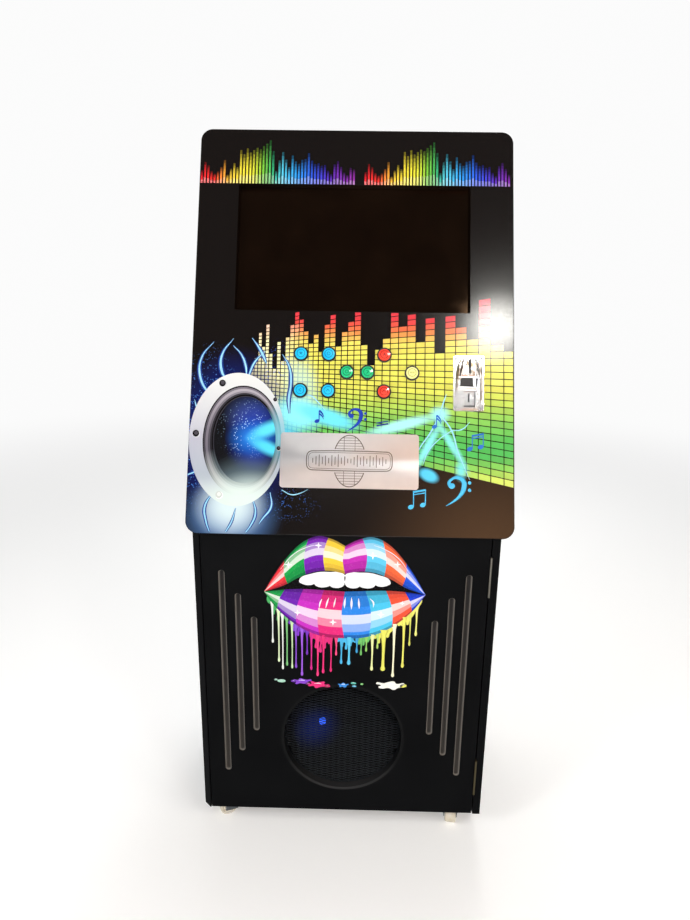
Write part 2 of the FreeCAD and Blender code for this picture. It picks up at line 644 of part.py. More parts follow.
def castors():
    """Swivel castors with nylon wheels, each left pointing its own way."""
    plates, screws = [], []
    for name, x, y, heading in CASTORS:
        corner = (f"{x} - castor_plate / 2", f"{y} - castor_plate / 2", "body_bottom - 2.5")
        flat = box(f"castor_flat_{name}", corner, ("castor_plate", "castor_plate", "2.5"))
        race = rod(f"castor_race_{name}", (x, y, "body_bottom - 9"), "16", "6.6")
        plates.append(fuse(f"castor_plate_{name}", [flat, race]))
        for side in (-1, 1):
            for end in (-1, 1):
                screws.append(rod(f"castor_screw_{name}_{side}_{end}",
                                  (f"{x} + {side} * 19", f"{y} + {end} * 19", "body_bottom - 4.5"), "3", "2"))
        stand = FreeCAD.Placement(point(x, y, 0), FreeCAD.Rotation(Z_AXIS, heading))
        disc = rod(f"fork_disc_{name}", ("0", "0", "body_bottom - 12.3"), "17", "3")
        cheeks = [
            box(f"fork_cheek_{name}_{side}", (f"{side} * (wheel_width / 2 + 2) - 1", "-8", "wheel_radius - 6"),
                ("2", "castor_trail + 16", "body_bottom - 10.3 - wheel_radius + 6"))
            for side in (-1, 1)]
        axle = rod(f"fork_axle_{name}", ("-wheel_width / 2 - 4.5", "castor_trail", "wheel_radius"),
                   "axle_radius", "wheel_width + 9", ALONG_X)
        keep(fuse(f"castor_fork_{name}", [disc, *cheeks, axle]), f"castor_fork_{name}", stand)
        rim, half, bore = "wheel_radius", "wheel_width / 2", "axle_radius + 0.06"
        hub = stand.multiply(FreeCAD.Placement(point(0, "castor_trail", rim), FreeCAD.Rotation()))
        turned(f"castor_wheel_{name}", [
            (f"-{half}", bore), (f"-{half}", "9"), (f"2.5 - {half}", "10"), (f"2.5 - {half}", "15"),
            (f"-{half}", "16"), (f"-{half}", f"{rim} - 3"), (f"1 - {half}", f"{rim} - 0.9"),
            (f"4 - {half}", rim), (f"{half} - 4", rim), (f"{half} - 1", f"{rim} - 0.9"),
            (half, f"{rim} - 3"), (half, "16"), (f"{half} - 2.5", "15"), (f"{half} - 2.5", "10"),
            (half, "9"), (half, bore)], hub, axis="H_Axis")
    keep(group("castor_plates", plates), "castor_plates")
    keep(group("castor_screws", screws), "castor_screws")


def inside():
    """The music computer, the amplifier, the coin chute and the cash box on the shelf."""
    floor = "shelf_height + board"
    case = box("computer_case", ("-290", "-40", floor), ("computer_side", "computer_side", "computer_height"))
    keep(group("computer", [case]), "computer")
    sides = ("amplifier_width", "amplifier_depth", "amplifier_height")
    case = box("amplifier_case", ("-70", "-60", floor), sides)
    fins = [box(f"amplifier_fin_{index}", (f"-60 + {index * 18}", "-50", f"{floor} + amplifier_height"),
                ("4", "amplifier_depth - 20", "14")) for index in range(11)]
    keep(fuse("amplifier", [case, *fins]), "amplifier")
    outer = box("cash_outer", ("190", "-155", floor), ("cash_width", "cash_depth", "110"))
    inner = box("cash_inner", ("190 + cash_wall", "-155 + cash_wall", f"{floor} + cash_wall"),
                ("cash_width - 2 * cash_wall", "cash_depth - 2 * cash_wall", "120"))
    keep(cut("cash_box", outer, inner), "cash_box")
    chute = box("chute_outer", ("coin_across - 20", "-119", f"{floor} + 116"), ("40", "30", "188"))
    bore = box("chute_inner", ("coin_across - 17", "-116", f"{floor} + 110"), ("34", "24", "210"))
    keep(cut("coin_chute", chute, bore), "coin_chute")


def mains():
    """A switched mains inlet let into the back."""
    face = f"({back_plane_y} + back_board)"
    flange = box("inlet_flange", ("inlet_across - 30", face, "inlet_up - 35"), ("60", "2.5", "70"))
    core = box("inlet_core", ("inlet_across - 24", f"{face} - 30", "inlet_up - 29"), ("48", "31", "58"))
    socket = box("inlet_socket", ("inlet_across - 12.5", f"{face} - 16", "inlet_up - 25"), ("25", "20", "17"))
    window = box("inlet_window", ("inlet_across - 10", f"{face} - 14", "inlet_up + 2"), ("20", "20", "16"))
    pins = [box(f"inlet_pin_{index}", (f"inlet_across - 1 + {spot}", f"{face} - 17", f"inlet_up - {rise}"),
                ("2", "12", "4")) for index, (spot, rise) in enumerate(((-7, 20), (0, 15), (7, 20)))]
    hollow = cut("inlet_hollow", fuse("inlet_blank", [flange, core]), fuse("inlet_cuts", [socket, window]))
    keep(fuse("power_inlet", [hollow, *pins]), "power_inlet")
    drum = rod("rocker_drum", ("inlet_across - 9.7", f"{face} - 2.5", "inlet_up + 10"), "7.6", "19.4", ALONG_X)
    flat = box("rocker_flat", ("inlet_across - 12", f"{face} + 1.2", "inlet_up"), ("24", "12", "24"))
    flat.Placement.Rotation = FreeCAD.Rotation(X_AXIS, 10)
    keep(cut("power_switch", drum, flat), "power_switch")
    screws = []
    for side in (-1, 1):
        for index in range(5):
            screws.append(rod(f"back_screw_{side}_{index}",
                              (f"body_shift + {side} * ({inner_width} / 2 - 12)", face, f"110 + {index} * 370"),
                              "4", "2.5", ALONG_Y))
    keep(group("back_panel_screws", screws), "back_panel_screws")


def cabinet():
    inner_x = f"{left_x} + board"
    side_panel("side_panel_left", left_x, True)
    side_panel("side_panel_right", f"{right_x} - board", False)
    keep(flat_board("base_board", (inner_x, f"{front_y} + board + 1", "body_bottom"),
                    (inner_width, f"depth / 2 - {front_y} - board - 1", "board")), "base_board")
    keep(flat_board("shelf", (inner_x, "shelf_front", "shelf_height"),
                    (inner_width, f"{back_plane_y} - shelf_front", "board")), "shelf")
    keep(flat_board("header_rail", (inner_x, f"{front_y} + board + 1", "rail_bottom"),
                    (inner_width, "board", "rail_height")), "header_rail")
    top_board()
    back_panel()
    front_panel()


cabinet()
monitor()
buttons()
coin_faceplate()
coin_mechanism()
name_plate()
door_panel()
woofer()
hinges()
lock()
castors()
inside()
mains()
doc.recompute()

for item in doc.Objects:
    if "Invalid" in item.State or "Error" in item.State:
        raise RuntimeError(f"{item.Label} failed: {item.State}")
for node in nodes:
    if node.Shape.isNull() or not node.Shape.isValid() or not node.Shape.Solids:
        raise RuntimeError(f"{node.Label} isn't a valid solid")
for node in nodes:
    node.Shape.exportStep(f"parts/{node.Label}.step")
print(len(nodes), "nodes written")
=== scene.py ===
import json
import math
import random

import bpy
from mathutils import Matrix, Vector


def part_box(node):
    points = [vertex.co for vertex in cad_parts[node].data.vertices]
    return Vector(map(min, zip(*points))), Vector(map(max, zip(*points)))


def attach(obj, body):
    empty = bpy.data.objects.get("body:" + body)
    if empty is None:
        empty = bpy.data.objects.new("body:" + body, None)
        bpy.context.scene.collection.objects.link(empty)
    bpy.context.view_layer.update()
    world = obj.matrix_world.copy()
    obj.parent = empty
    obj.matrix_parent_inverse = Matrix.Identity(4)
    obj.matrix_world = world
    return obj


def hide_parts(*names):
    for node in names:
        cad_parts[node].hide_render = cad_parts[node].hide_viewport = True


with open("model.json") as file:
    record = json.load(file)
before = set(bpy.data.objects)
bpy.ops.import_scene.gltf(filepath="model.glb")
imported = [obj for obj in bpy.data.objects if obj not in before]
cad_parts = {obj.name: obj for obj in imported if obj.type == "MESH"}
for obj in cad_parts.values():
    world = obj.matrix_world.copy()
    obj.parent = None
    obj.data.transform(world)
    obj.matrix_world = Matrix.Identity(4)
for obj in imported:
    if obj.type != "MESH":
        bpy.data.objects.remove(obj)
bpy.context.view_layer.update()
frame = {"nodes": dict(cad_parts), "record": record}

random.seed(7)

# where the two printed boards stand, so that artwork is drawn flat and then laid on them
board = {"lean": 21.5, "length": 0.932, "thick": 0.018, "doorFoot": 0.002, "doorShift": 0.0003}
panelLow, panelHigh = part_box("front_panel")
lean = math.radians(board["lean"])
panelFoot = Vector((
    0,
    panelHigh.y - board["length"] * math.sin(lean) - board["thick"] * math.cos(lean),
    panelLow.z + board["thick"] * math.sin(lean),
))
onPanel = Matrix.Translation(panelFoot) @ Matrix.Rotation(math.radians(90) - lean, 4, "X")
doorLow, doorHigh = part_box("door_panel")
doorMiddle = (doorLow.x + doorHigh.x) / 2 + board["doorShift"]
onDoor = (Matrix.Translation((doorMiddle, doorLow.y, doorLow.z - board["doorFoot"]))
          @ Matrix.Rotation(math.radians(90), 4, "X"))


def toLinear(hexColour):
    channels = [int(hexColour[i:i + 2], 16) / 255 for i in (1, 3, 5)]
    return tuple(c / 12.92 if c <= 0.04045 else ((c + 0.055) / 1.055) ** 2.4 for c in channels) + (1.0,)


def blendColours(first, second, share):
    return tuple(a + (b - a) * share for a, b in zip(first, second))


def rampColour(stops, place):
    # stops are (place, hex colour) in rising order
    if place <= stops[0][0]:
        return toLinear(stops[0][1])
    for (a, first), (b, second) in zip(stops, stops[1:]):
        if place <= b:
            return blendColours(toLinear(first), toLinear(second), (place - a) / (b - a))
    return toLinear(stops[-1][1])


def addNode(tree, kind, settings=None, links=None):
    node = tree.nodes.new(kind)
    for name, setting in (settings or {}).items():
        if isinstance(name, str) and hasattr(node, name):
            setattr(node, name, setting)
        else:
            node.inputs[name].default_value = setting
    for name, source in (links or {}).items():
        tree.links.new(source, node.inputs[name])
    return node


def objectPlace(tree):
    return addNode(tree, "ShaderNodeTexCoord").outputs["Object"]


def addMath(tree, operation, first, second=None):
    # second is a number or another node's output
    settings, links = {"operation": operation}, {0: first}
    if second is not None:
        (links if isinstance(second, bpy.types.NodeSocket) else settings)[1] = second
    return addNode(tree, "ShaderNodeMath", settings, links).outputs[0]


def addVector(tree, operation, vector, amount):
    return addNode(tree, "ShaderNodeVectorMath", {"operation": operation, 1: amount}, {0: vector}).outputs[0]


def addLength(tree, vector):
    return addNode(tree, "ShaderNodeVectorMath", {"operation": "LENGTH"}, {0: vector}).outputs["Value"]


def addRange(tree, value, ends=(0.0, 1.0), outcome=(0.0, 1.0), kind="LINEAR"):
    return addNode(tree, "ShaderNodeMapRange", {
        "interpolation_type": kind, "From Min": ends[0], "From Max": ends[1],
        "To Min": outcome[0], "To Max": outcome[1],
    }, {"Value": value}).outputs[0]


def addMix(tree, share, first, second):
    # first and second are hex colours or other nodes' outputs
    settings, links = {"data_type": "RGBA"}, {0: share}
    for place, colour in ((6, first), (7, second)):
        if isinstance(colour, str):
            settings[place] = toLinear(colour)
        else:
            links[place] = colour
    return addNode(tree, "ShaderNodeMix", settings, links).outputs[2]


def clearSelection():
    if bpy.context.object and bpy.context.object.mode != "OBJECT":
        endEdit()
    bpy.ops.object.select_all(action="DESELECT")


def pick(piece):
    clearSelection()
    piece.select_set(True)
    bpy.context.view_layer.objects.active = piece


def endEdit():
    bpy.ops.object.mode_set(mode="OBJECT")


def choose(piece, kind, rule):
    # selects the vertices, edges or faces that pass the rule, and leaves the piece in edit mode
    items = {"VERT": piece.data.vertices, "EDGE": piece.data.edges, "FACE": piece.data.polygons}[kind]
    passed = [rule(item) for item in items]
    pick(piece)
    bpy.ops.object.mode_set(mode="EDIT")
    bpy.ops.mesh.select_mode(type=kind)
    bpy.ops.mesh.select_all(action="DESELECT")
    endEdit()
    for item, chosen in zip(items, passed):
        item.select = chosen
    bpy.ops.object.mode_set(mode="EDIT")


def joinPieces(pieces):
    pick(pieces[0])
    for piece in pieces:
        piece.select_set(True)
    if len(pieces) > 1:
        bpy.ops.object.join()
    return bpy.context.object


def settle(piece, name, body, finish, place=None):
    # applies the place, so the finished piece's object is at the origin and unturned
    piece.name = piece.data.name = name
    pick(piece)
    if place is not None:
        piece.matrix_world = place @ piece.matrix_world
    bpy.ops.object.transform_apply(location=True, rotation=True, scale=True)
    if finish is not None:
        piece.data.materials.clear()
        piece.data.materials.append(finish)
    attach(piece, body)
    return piece


def cutFlat(piece, spot, across):
    # cuts every face along a line through the spot, upright or level
    choose(piece, "FACE", lambda face: True)
    bpy.ops.mesh.bisect(plane_co=spot, plane_no=(1, 0, 0) if across else (0, 1, 0))
    endEdit()


def millimetres(*sizes):
    return tuple(size / 1000 for size in sizes)


def inkPiece(piece, rule, smooth=False):
    # rule gives a linear colour for a face's middle, or for each corner, in millimetres on the board
    ink = piece.data.color_attributes.new("ink", "FLOAT_COLOR", "CORNER")
    for face in piece.data.polygons:
        colour = rule(face.center.x * 1000, face.center.y * 1000)
        for corner, vertex in zip(face.loop_indices, face.vertices):
            spot = piece.data.vertices[vertex].co
            ink.data[corner].color = rule(spot.x * 1000, spot.y * 1000) if smooth else colour
    return piece


def inkAll(piece, colour):
    return inkPiece(piece, lambda x, y: toLinear(colour))


def glide(points, share):
    # a smooth path through the points, share from 0 to 1
    spot = share * (len(points) - 1)
    i = min(int(spot), len(points) - 2)
    f = spot - i
    ends = [points[max(i - 1, 0)], points[i], points[i + 1], points[min(i + 2, len(points) - 1)]]
    return [
        0.5 * (2 * b + (c - a) * f + (2 * a - 5 * b + 4 * c - d) * f * f + (3 * b - a - 3 * c + d) * f ** 3)
        for a, b, c, d in zip(*ends)
    ]


def drawAreas(outlines, layer, steps=6):
    # closed smooth outlines in millimetres, filled in; a third value makes that point a corner
    clearSelection()
    bpy.ops.curve.primitive_bezier_circle_add(radius=0.01)
    curve = bpy.context.object
    curve.data.dimensions = "2D"
    curve.data.fill_mode = "BOTH"
    curve.data.resolution_u = steps
    curve.data.splines.clear()
    for outline in outlines:
        spline = curve.data.splines.new("BEZIER")
        spline.use_cyclic_u = True
        spline.bezier_points.add(len(outline) - 1)
        for handle, spot in zip(spline.bezier_points, outline):
            handle.co = (spot[0] / 1000, spot[1] / 1000, 0)
            handle.handle_left_type = handle.handle_right_type = "VECTOR" if len(spot) > 2 else "AUTO"
    bpy.ops.object.convert(target="MESH")
    area = bpy.context.object
    area.location.z = layer / 1000
    bpy.ops.object.transform_apply(location=True)
    return area


def drawStrokes(strokes, layer, steps=8, flatness=0.03):
    # strokes are lists of (across, up, half width) in millimetres, drawn as tubes and pressed flat
    clearSelection()
    bpy.ops.curve.primitive_bezier_curve_add(radius=0.01)
    curve = bpy.context.object
    curve.data.dimensions = "3D"
    curve.data.bevel_depth = 0.001
    curve.data.bevel_resolution = 1
    curve.data.use_fill_caps = True
    curve.data.resolution_u = steps
    curve.data.splines.clear()
    for stroke in strokes:
        spline = curve.data.splines.new("BEZIER")
        spline.radius_interpolation = "CARDINAL"
        spline.bezier_points.add(len(stroke) - 1)
        for handle, (across, up, half) in zip(spline.bezier_points, stroke):
            handle.co = (across / 1000, up / 1000, 0)
            handle.radius = half
            handle.handle_left_type = handle.handle_right_type = "AUTO"
    bpy.ops.object.convert(target="MESH")
    drawn = bpy.context.object
    bpy.ops.object.mode_set(mode="EDIT")
    bpy.ops.mesh.select_all(action="SELECT")
    bpy.ops.transform.resize(value=(1, 1, flatness), center_override=(0, 0, 0))
    endEdit()
    drawn.location.z = layer / 1000
    bpy.ops.object.transform_apply(location=True)
    return drawn


def drawDisc(centre, radii, layer, turn=0, sides=64):
    clearSelection()
    bpy.ops.mesh.primitive_circle_add(vertices=sides, radius=1, fill_type="NGON")
    disc = bpy.context.object
    disc.scale = (radii[0] / 1000, radii[1] / 1000, 1)
    disc.rotation_euler.z = math.radians(turn)
    disc.location = millimetres(centre[0], centre[1], layer)
    bpy.ops.object.transform_apply(location=True, rotation=True, scale=True)
    return disc


print("stage: camera, lights and floor")

camera = {"place": (0.013, -1.662, 1.391), "turn": 0.97, "tilt": -15.88, "roll": -0.82, "lens": 27.39}
bpy.ops.object.camera_add()
viewer = bpy.context.object
viewer.name = "viewer"
viewer.matrix_world = (
    Matrix.Translation(camera["place"])
    @ Matrix.Rotation(math.radians(camera["turn"]), 4, "Z")
    @ Matrix.Rotation(math.radians(camera["tilt"]), 4, "X")
    @ Matrix.Rotation(math.radians(camera["roll"]), 4, "Y")
    @ Matrix.Rotation(math.radians(90), 4, "X")
)
viewer.data.lens = camera["lens"]
viewer.data.sensor_width = 36
bpy.context.scene.camera = viewer

lights = {
    # name: place, aim, size across and up, watts, colour
    "keyLeft": ((-2.7, -2.3, 2.3), (0, 0, 0.9), (1.6, 1.6), 84, "#FFFFFF"),
    "fillRight": ((2.8, -2.1, 2.1), (0, 0, 0.9), (1.5, 1.5), 52, "#FFF8F0"),
    "lowFront": ((0, -3.4, 0.85), (0, 0, 0.75), (2.2, 0.9), 34, "#FFFFFF"),
    "overhead": ((0, 0.9, 3.4), (0, 0.2, 0), (2.6, 2.2), 60, "#FFFFFF"),
    "flashGlint": ((0.70, -1.62, 2.46), (0.33, -0.07, 1.24), (0.42, 0.42), 16, "#FFFDF6"),
    "plateGlint": ((-0.1, -2.85, 2.33), (0, -0.18, 0.97), (0.7, 0.26), 1.1, "#FFFFFF"),
    "warmRoom": ((0.85, -2.93, 1.75), (0.2, -0.2, 0.9), (1.9, 1.7), 30, "#B88458"),
    "behind": ((0.6, 3.0, 2.4), (0, 0.2, 0.9), (2.0, 1.4), 45, "#FFFFFF"),
}
# how much brighter a lamp's middle is than its even average
lampFade = 2.6
for name, (place, aim, size, watts, colour) in lights.items():
    clearSelection()
    bpy.ops.object.light_add(type="AREA", location=place)
    lamp = bpy.context.object
    lamp.name = name
    lamp.rotation_euler = (Vector(aim) - Vector(place)).to_track_quat("-Z", "Y").to_euler()
    lamp.data.shape = "RECTANGLE"
    lamp.data.size, lamp.data.size_y = size
    lamp.data.energy = watts
    lamp.data.color = toLinear(colour)[:3]
    # each lamp fades out towards its rim, so that no hard window stands in the gloss
    lamp.data.use_nodes = True
    tree = lamp.data.node_tree
    across = addNode(tree, "ShaderNodeNewGeometry").outputs["Parametric"]
    off = addVector(tree, "SUBTRACT", across, (0.5, 0.5, 0))
    away = addLength(tree, addVector(tree, "MULTIPLY", off, (1, 1, 0)))
    fade = addRange(tree, away, (0.0, 0.5), (lampFade, 0.0), "SMOOTHSTEP")
    tree.links.new(fade, tree.nodes["Emission"].inputs["Strength"])

# pale air to look at, dim air in the gloss, as in a room with the lamps close by
studio = {
    "dimAir": 0.2, "paleAir": 0.97, "floorRadius": 30, "floorNear": 1.0, "floorFar": 5.5, "floorGlow": (0.3, 0.96),
}
world = bpy.data.worlds.new("studioAir")
bpy.context.scene.world = world
world.use_nodes = True
air = world.node_tree
seen = addNode(air, "ShaderNodeLightPath").outputs["Is Camera Ray"]
strength = addRange(air, seen, outcome=(studio["dimAir"], studio["paleAir"]))
air.nodes["Background"].inputs["Color"].default_value = (1, 1, 1, 1)
air.links.new(strength, air.nodes["Background"].inputs["Strength"])
bpy.context.scene.view_settings.view_transform = "Standard"

# a wide floor that goes over into the pale air, so it has no edge from any side
clearSelection()
bpy.ops.mesh.primitive_circle_add(vertices=96, radius=studio["floorRadius"], fill_type="NGON")
floor = bpy.context.object
floor.name = "floor"
floor.visible_glossy = False
paper = bpy.data.materials.new("matStudioPaper")
paper.use_nodes = True
tree = paper.node_tree
shader = tree.nodes["Principled BSDF"]
shader.inputs["Roughness"].default_value = 0.9
shader.inputs["Specular IOR Level"].default_value = 0.2
shader.inputs["Emission Color"].default_value = (1, 1, 1, 1)
far = addRange(tree, addLength(tree, objectPlace(tree)), (studio["floorNear"], studio["floorFar"]), kind="SMOOTHSTEP")
tree.links.new(addMix(tree, far, "#F2F2F1", "#000000"), shader.inputs["Base Color"])
tree.links.new(addRange(tree, far, outcome=studio["floorGlow"]), shader.inputs["Emission Strength"])
floor.data.materials.append(paper)


print("stage: finishes")


def addNoise(tree, vector, size, detail):
    # size in millimetres
    marks = addNode(tree, "ShaderNodeTexNoise", {"Scale": 1000 / size, "Detail": detail}, {"Vector": vector})
    return marks.outputs[0]


def makeFinish(name, colour, second=None, metallic=0.0, rough=(0.4, 0.5), grain=2.0, bump=0.05, stretch=(1, 1, 1),
               patch=60.0, detail=4.0, sockets=None):
    # grain is the size of the fine marks and patch that of the slow colour drift, both in millimetres
    finish = bpy.data.materials.new(name)
    finish.use_nodes = True
    tree = finish.node_tree
    shader = tree.nodes["Principled BSDF"]
    shader.inputs["Base Color"].default_value = toLinear(colour)
    shader.inputs["Metallic"].default_value = metallic
    for socket, setting in (sockets or {}).items():
        shader.inputs[socket].default_value = setting
    place = objectPlace(tree)
    turned = addNode(tree, "ShaderNodeMapping", {"Scale": stretch}, {"Vector": place}).outputs[0]
    marks = addNoise(tree, turned, grain, detail)
    tree.links.new(addRange(tree, marks, (0.3, 0.7), rough), shader.inputs["Roughness"])
    relief = addNode(tree, "ShaderNodeBump", {"Distance": bump / 1000, "Strength": 1.0}, {"Height": marks})
    tree.links.new(relief.outputs[0], shader.inputs["Normal"])
    if second:
        share = addRange(tree, addNoise(tree, place, patch, 3.0), (0.35, 0.65))
        tree.links.new(addMix(tree, share, colour, second), shader.inputs["Base Color"])
    return finish


def addBlob(tree, vector, colour, blob, speckle):
    # one soft patch of light in the print: middle and radii in millimetres, turn in degrees, then its ink and
    # strength, the share of the radii that is evenly lit, and whether it is broken up into specks
    middle, radii, turn, ink, strength, core, speckled = blob
    placed = addNode(tree, "ShaderNodeMapping", {
        "vector_type": "TEXTURE", "Location": millimetres(*middle, 0),
        "Rotation": (0, 0, math.radians(turn)), "Scale": millimetres(*radii, 1000),
    }, {"Vector": vector})
    away = addLength(tree, placed.outputs[0])
    share = addRange(tree, away, (core, 1.0), (strength, 0.0), "SMOOTHSTEP")
    if speckled:
        share = addMath(tree, "MULTIPLY", share, speckle)
    return addMix(tree, share, colour, ink)


# the printed specks: millimetres apart, share of that at which a speck begins and is full, millimetres per cluster
sparkle = {"apart": 4.4, "edge": (0.31, 0.2), "clump": 22}


def makePrintLight(name, blobs):
    # a group that lays the print's soft glows over the ink it is given
    group = bpy.data.node_groups.new(name, "ShaderNodeTree")
    group.interface.new_socket("Ink", in_out="INPUT", socket_type="NodeSocketColor")
    group.interface.new_socket("Colour", in_out="OUTPUT", socket_type="NodeSocketColor")
    given = addNode(group, "NodeGroupInput")
    back = onPanel.inverted()
    flat = addNode(group, "ShaderNodeMapping", {
        "Location": back.to_translation(), "Rotation": back.to_euler(),
    }, {"Vector": objectPlace(group)}).outputs[0]
    stars = addNode(group, "ShaderNodeTexVoronoi", {
        "Scale": 1000 / sparkle["apart"], "Randomness": 1.0}, {"Vector": flat}).outputs["Distance"]
    dots = addRange(group, stars, sparkle["edge"])
    sparse = addRange(group, addNoise(group, flat, sparkle["clump"], 3.0), (0.42, 0.58))
    speckle = addMath(group, "MULTIPLY", dots, sparse)
    colour = given.outputs["Ink"]
    for blob in blobs:
        colour = addBlob(group, flat, colour, blob, speckle)
    addNode(group, "NodeGroupOutput", None, {"Colour": colour})
    return group


# middles are across from the board's centre and up from its foot
boardGlow = makePrintLight("boardGlow", [
    ((-262, 214), (160, 215), 0, "#0A1B66", 0.85, 0.5, False),
    ((-318, 330), (70, 110), 0, "#5A95F5", 1.0, 0.1, True),
    ((-348, 190), (60, 190), 0, "#4C90F5", 1.0, 0.1, True),
    ((-165, 372), (70, 70), 0, "#3A66EE", 1.0, 0.1, True),
    ((-150, 68), (110, 52), 0, "#3F78D8", 0.8, 0.1, True),
    ((-112, 330), (52, 95), 12, "#C9F6EE", 0.62, 0.1, False),
    ((-118, 268), (72, 52), -10, "#8DF0FB", 0.98, 0.3, False),
    ((-55, 262), (92, 26), -17, "#6FE3F6", 1.0, 0.35, False),
    ((-150, 200), (60, 60), 0, "#58D4F5", 0.95, 0.3, False),
    ((110, 246), (105, 17), 15, "#AEF7F4", 0.95, 0.3, False),
    ((196, 272), (30, 24), 0, "#A6F7F2", 0.95, 0.2, False),
    ((170, 200), (80, 13), 62, "#8FF0F2", 0.9, 0.2, False),
    ((222, 205), (88, 12), -58, "#8FF0F2", 0.85, 0.2, False),
    ((172, 136), (28, 17), -25, "#54CDF6", 1.0, 0.45, False),
    ((243, 148), (17, 30), 0, "#79E7EE", 0.9, 0.1, False),
    ((-262, 40), (124, 100), 0, "#5F8FD0", 0.75, 0.15, False),
    ((-262, 62), (92, 84), 0, "#D8ECEE", 0.95, 0.15, False),
])
# the fog over the foot of the printed loudspeaker, and the cyan light on its right rim
ringGlow = makePrintLight("ringGlow", [
    ((-160, 222), (46, 84), 0, "#7CC8DA", 0.75, 0.1, False),
    ((-240, 72), (116, 78), 0, "#DCEEE8", 1.0, 0.05, False),
])
coneGlow = makePrintLight("coneGlow", [
    ((-228, 262), (66, 56), 0, "#3B4C86", 0.75, 0.1, False),
    ((-214, 216), (72, 98), 0, "#1536B4", 0.9, 0.0, False),
    ((-232, 232), (74, 84), 0, "#B4DCFF", 1.0, 0.1, True),
    ((-216, 212), (66, 50), 0, "#2684E6", 0.85, 0.0, False),
    ((-236, 216), (42, 46), 0, "#C8F4FF", 1.0, 0.1, True),
    ((-184, 232), (62, 22), 24, "#5FDDFA", 1.0, 0.2, False),
    ((-182, 190), (62, 20), -24, "#55D8F8", 1.0, 0.2, False),
    ((-222, 96), (120, 92), 0, "#7F97A2", 0.75, 0.0, False),
    ((-214, 78), (112, 66), 0, "#DCEEE8", 0.95, 0.0, False),
])


def makeInk(name, group=None, rough=(0.16, 0.24), ink=None):
    # vinyl ink under a clear film: even colour, soft gloss, the film's faint orange peel
    finish = makeFinish(name, ink or "#FFFFFF", rough=rough, grain=4.5, bump=0.034, detail=3.0,
                        sockets={"Coat Weight": 0.3, "Coat Roughness": 0.06, "IOR": 1.5, "Specular IOR Level": 0.22})
    tree = finish.node_tree
    shader = tree.nodes["Principled BSDF"]
    if ink:
        colour = addNode(tree, "ShaderNodeRGB").outputs[0]
        colour.default_value = toLinear(ink)
    else:
        colour = addNode(tree, "ShaderNodeAttribute", {"attribute_name": "ink"}).outputs["Color"]
    if group:
        colour = addNode(tree, "ShaderNodeGroup", {"node_tree": group}, {0: colour}).outputs[0]
    tree.links.new(colour, shader.inputs["Base Color"])
    return finish


glossVinylBlack = makeInk("glossPrintedVinyl", boardGlow, ink="#0E0806")
glowInk = makeInk("printedInkUnderGlow", boardGlow)
plainInk = makeInk("printedInk")
coneInk = makeInk("printedConeInk", coneGlow, ink="#0B0B10")
ringInk = makeInk("printedRingInk", ringGlow)
doorInk = makeInk("doorTransferInk", rough=(0.2, 0.3))

# black satin lacquer sprayed on MDF: fine orange peel and a little dust in the sheen
satinLacquerMdf = makeFinish("satinLacquerOnMdf", "#07080A", "#0B0C0E", rough=(0.36, 0.5), grain=1.6, bump=0.02,
                             patch=180, sockets={"IOR": 1.45, "Specular IOR Level": 0.14})
# rolled stainless sheet brushed along its length: long streaks a third of a millimetre wide
brushedStainless = makeFinish("brushedStainlessSheet", "#E2E2E6", "#ECECEE", metallic=1.0, rough=(0.28, 0.42),
                              grain=20, bump=0.006, stretch=(1, 60, 60), patch=90, sockets={"Anisotropic": 0.55})
# bright chrome over a zinc casting: mirror with faint polishing haze
chromePlate = makeFinish("chromePlatedCasting", "#E3E4E6", "#D2D4D8", metallic=1.0, rough=(0.13, 0.24), grain=4,
                         bump=0.004, patch=25)
# clear-passivated zinc plate: blue-grey, mottled
zincPlate = makeFinish("zincPlatedSteel", "#AEB3B8", "#8F959B", metallic=1.0, rough=(0.3, 0.46), grain=1.5, bump=0.01,
                       patch=9)
# moulded ABS with a fine spark texture
mouldedAbs = makeFinish("mouldedBlackAbs", "#0C0C0D", "#131314", rough=(0.32, 0.46), grain=0.7, bump=0.012, patch=30,
                        sockets={"IOR": 1.53})
# display glass: near mirror with a faint finger haze
displayGlass = makeFinish("blackDisplayGlass", "#080302", "#0F0704", rough=(0.05, 0.11), grain=45, bump=0.0, patch=80,
                          sockets={"IOR": 1.52, "Specular IOR Level": 0.3, "Specular Tint": toLinear("#E8B890")})
# powder coat on steel strands: slightly pebbled
powderCoat = makeFinish("blackPowderCoatedSteel", "#1B2025", "#22272C", rough=(0.42, 0.56), grain=0.8, bump=0.02,
                        patch=25, sockets={"Specular IOR Level": 0.2})
# pressed paper pulp with a dark coating: felted fibres
paperCone = makeFinish("coatedPaperPulp", "#030304", "#060608", rough=(0.5, 0.68), grain=1.2, bump=0.05, patch=14,
                       sockets={"Specular IOR Level": 0.06})
# half-roll rubber surround: matt and dusty
butylRubber = makeFinish("rolledButylRubber", "#030303", "#060606", rough=(0.5, 0.62), grain=1.0, bump=0.015,
                         patch=20, sockets={"Specular IOR Level": 0.1})
# black paint over rough ferrite
ferrite = makeFinish("paintedFerriteMagnet", "#1B1B1C", "#232324", rough=(0.5, 0.66), grain=0.9, bump=0.03, patch=20)
# milky nylon wheel: light goes a little way in
milkyNylon = makeFinish("milkyMouldedNylon", "#E6E2D6", "#D8CFB9", rough=(0.28, 0.4), grain=2.5, bump=0.01, patch=14,
                        sockets={"Subsurface Weight": 0.25, "Subsurface Radius": (0.004, 0.004, 0.003), "IOR": 1.53})
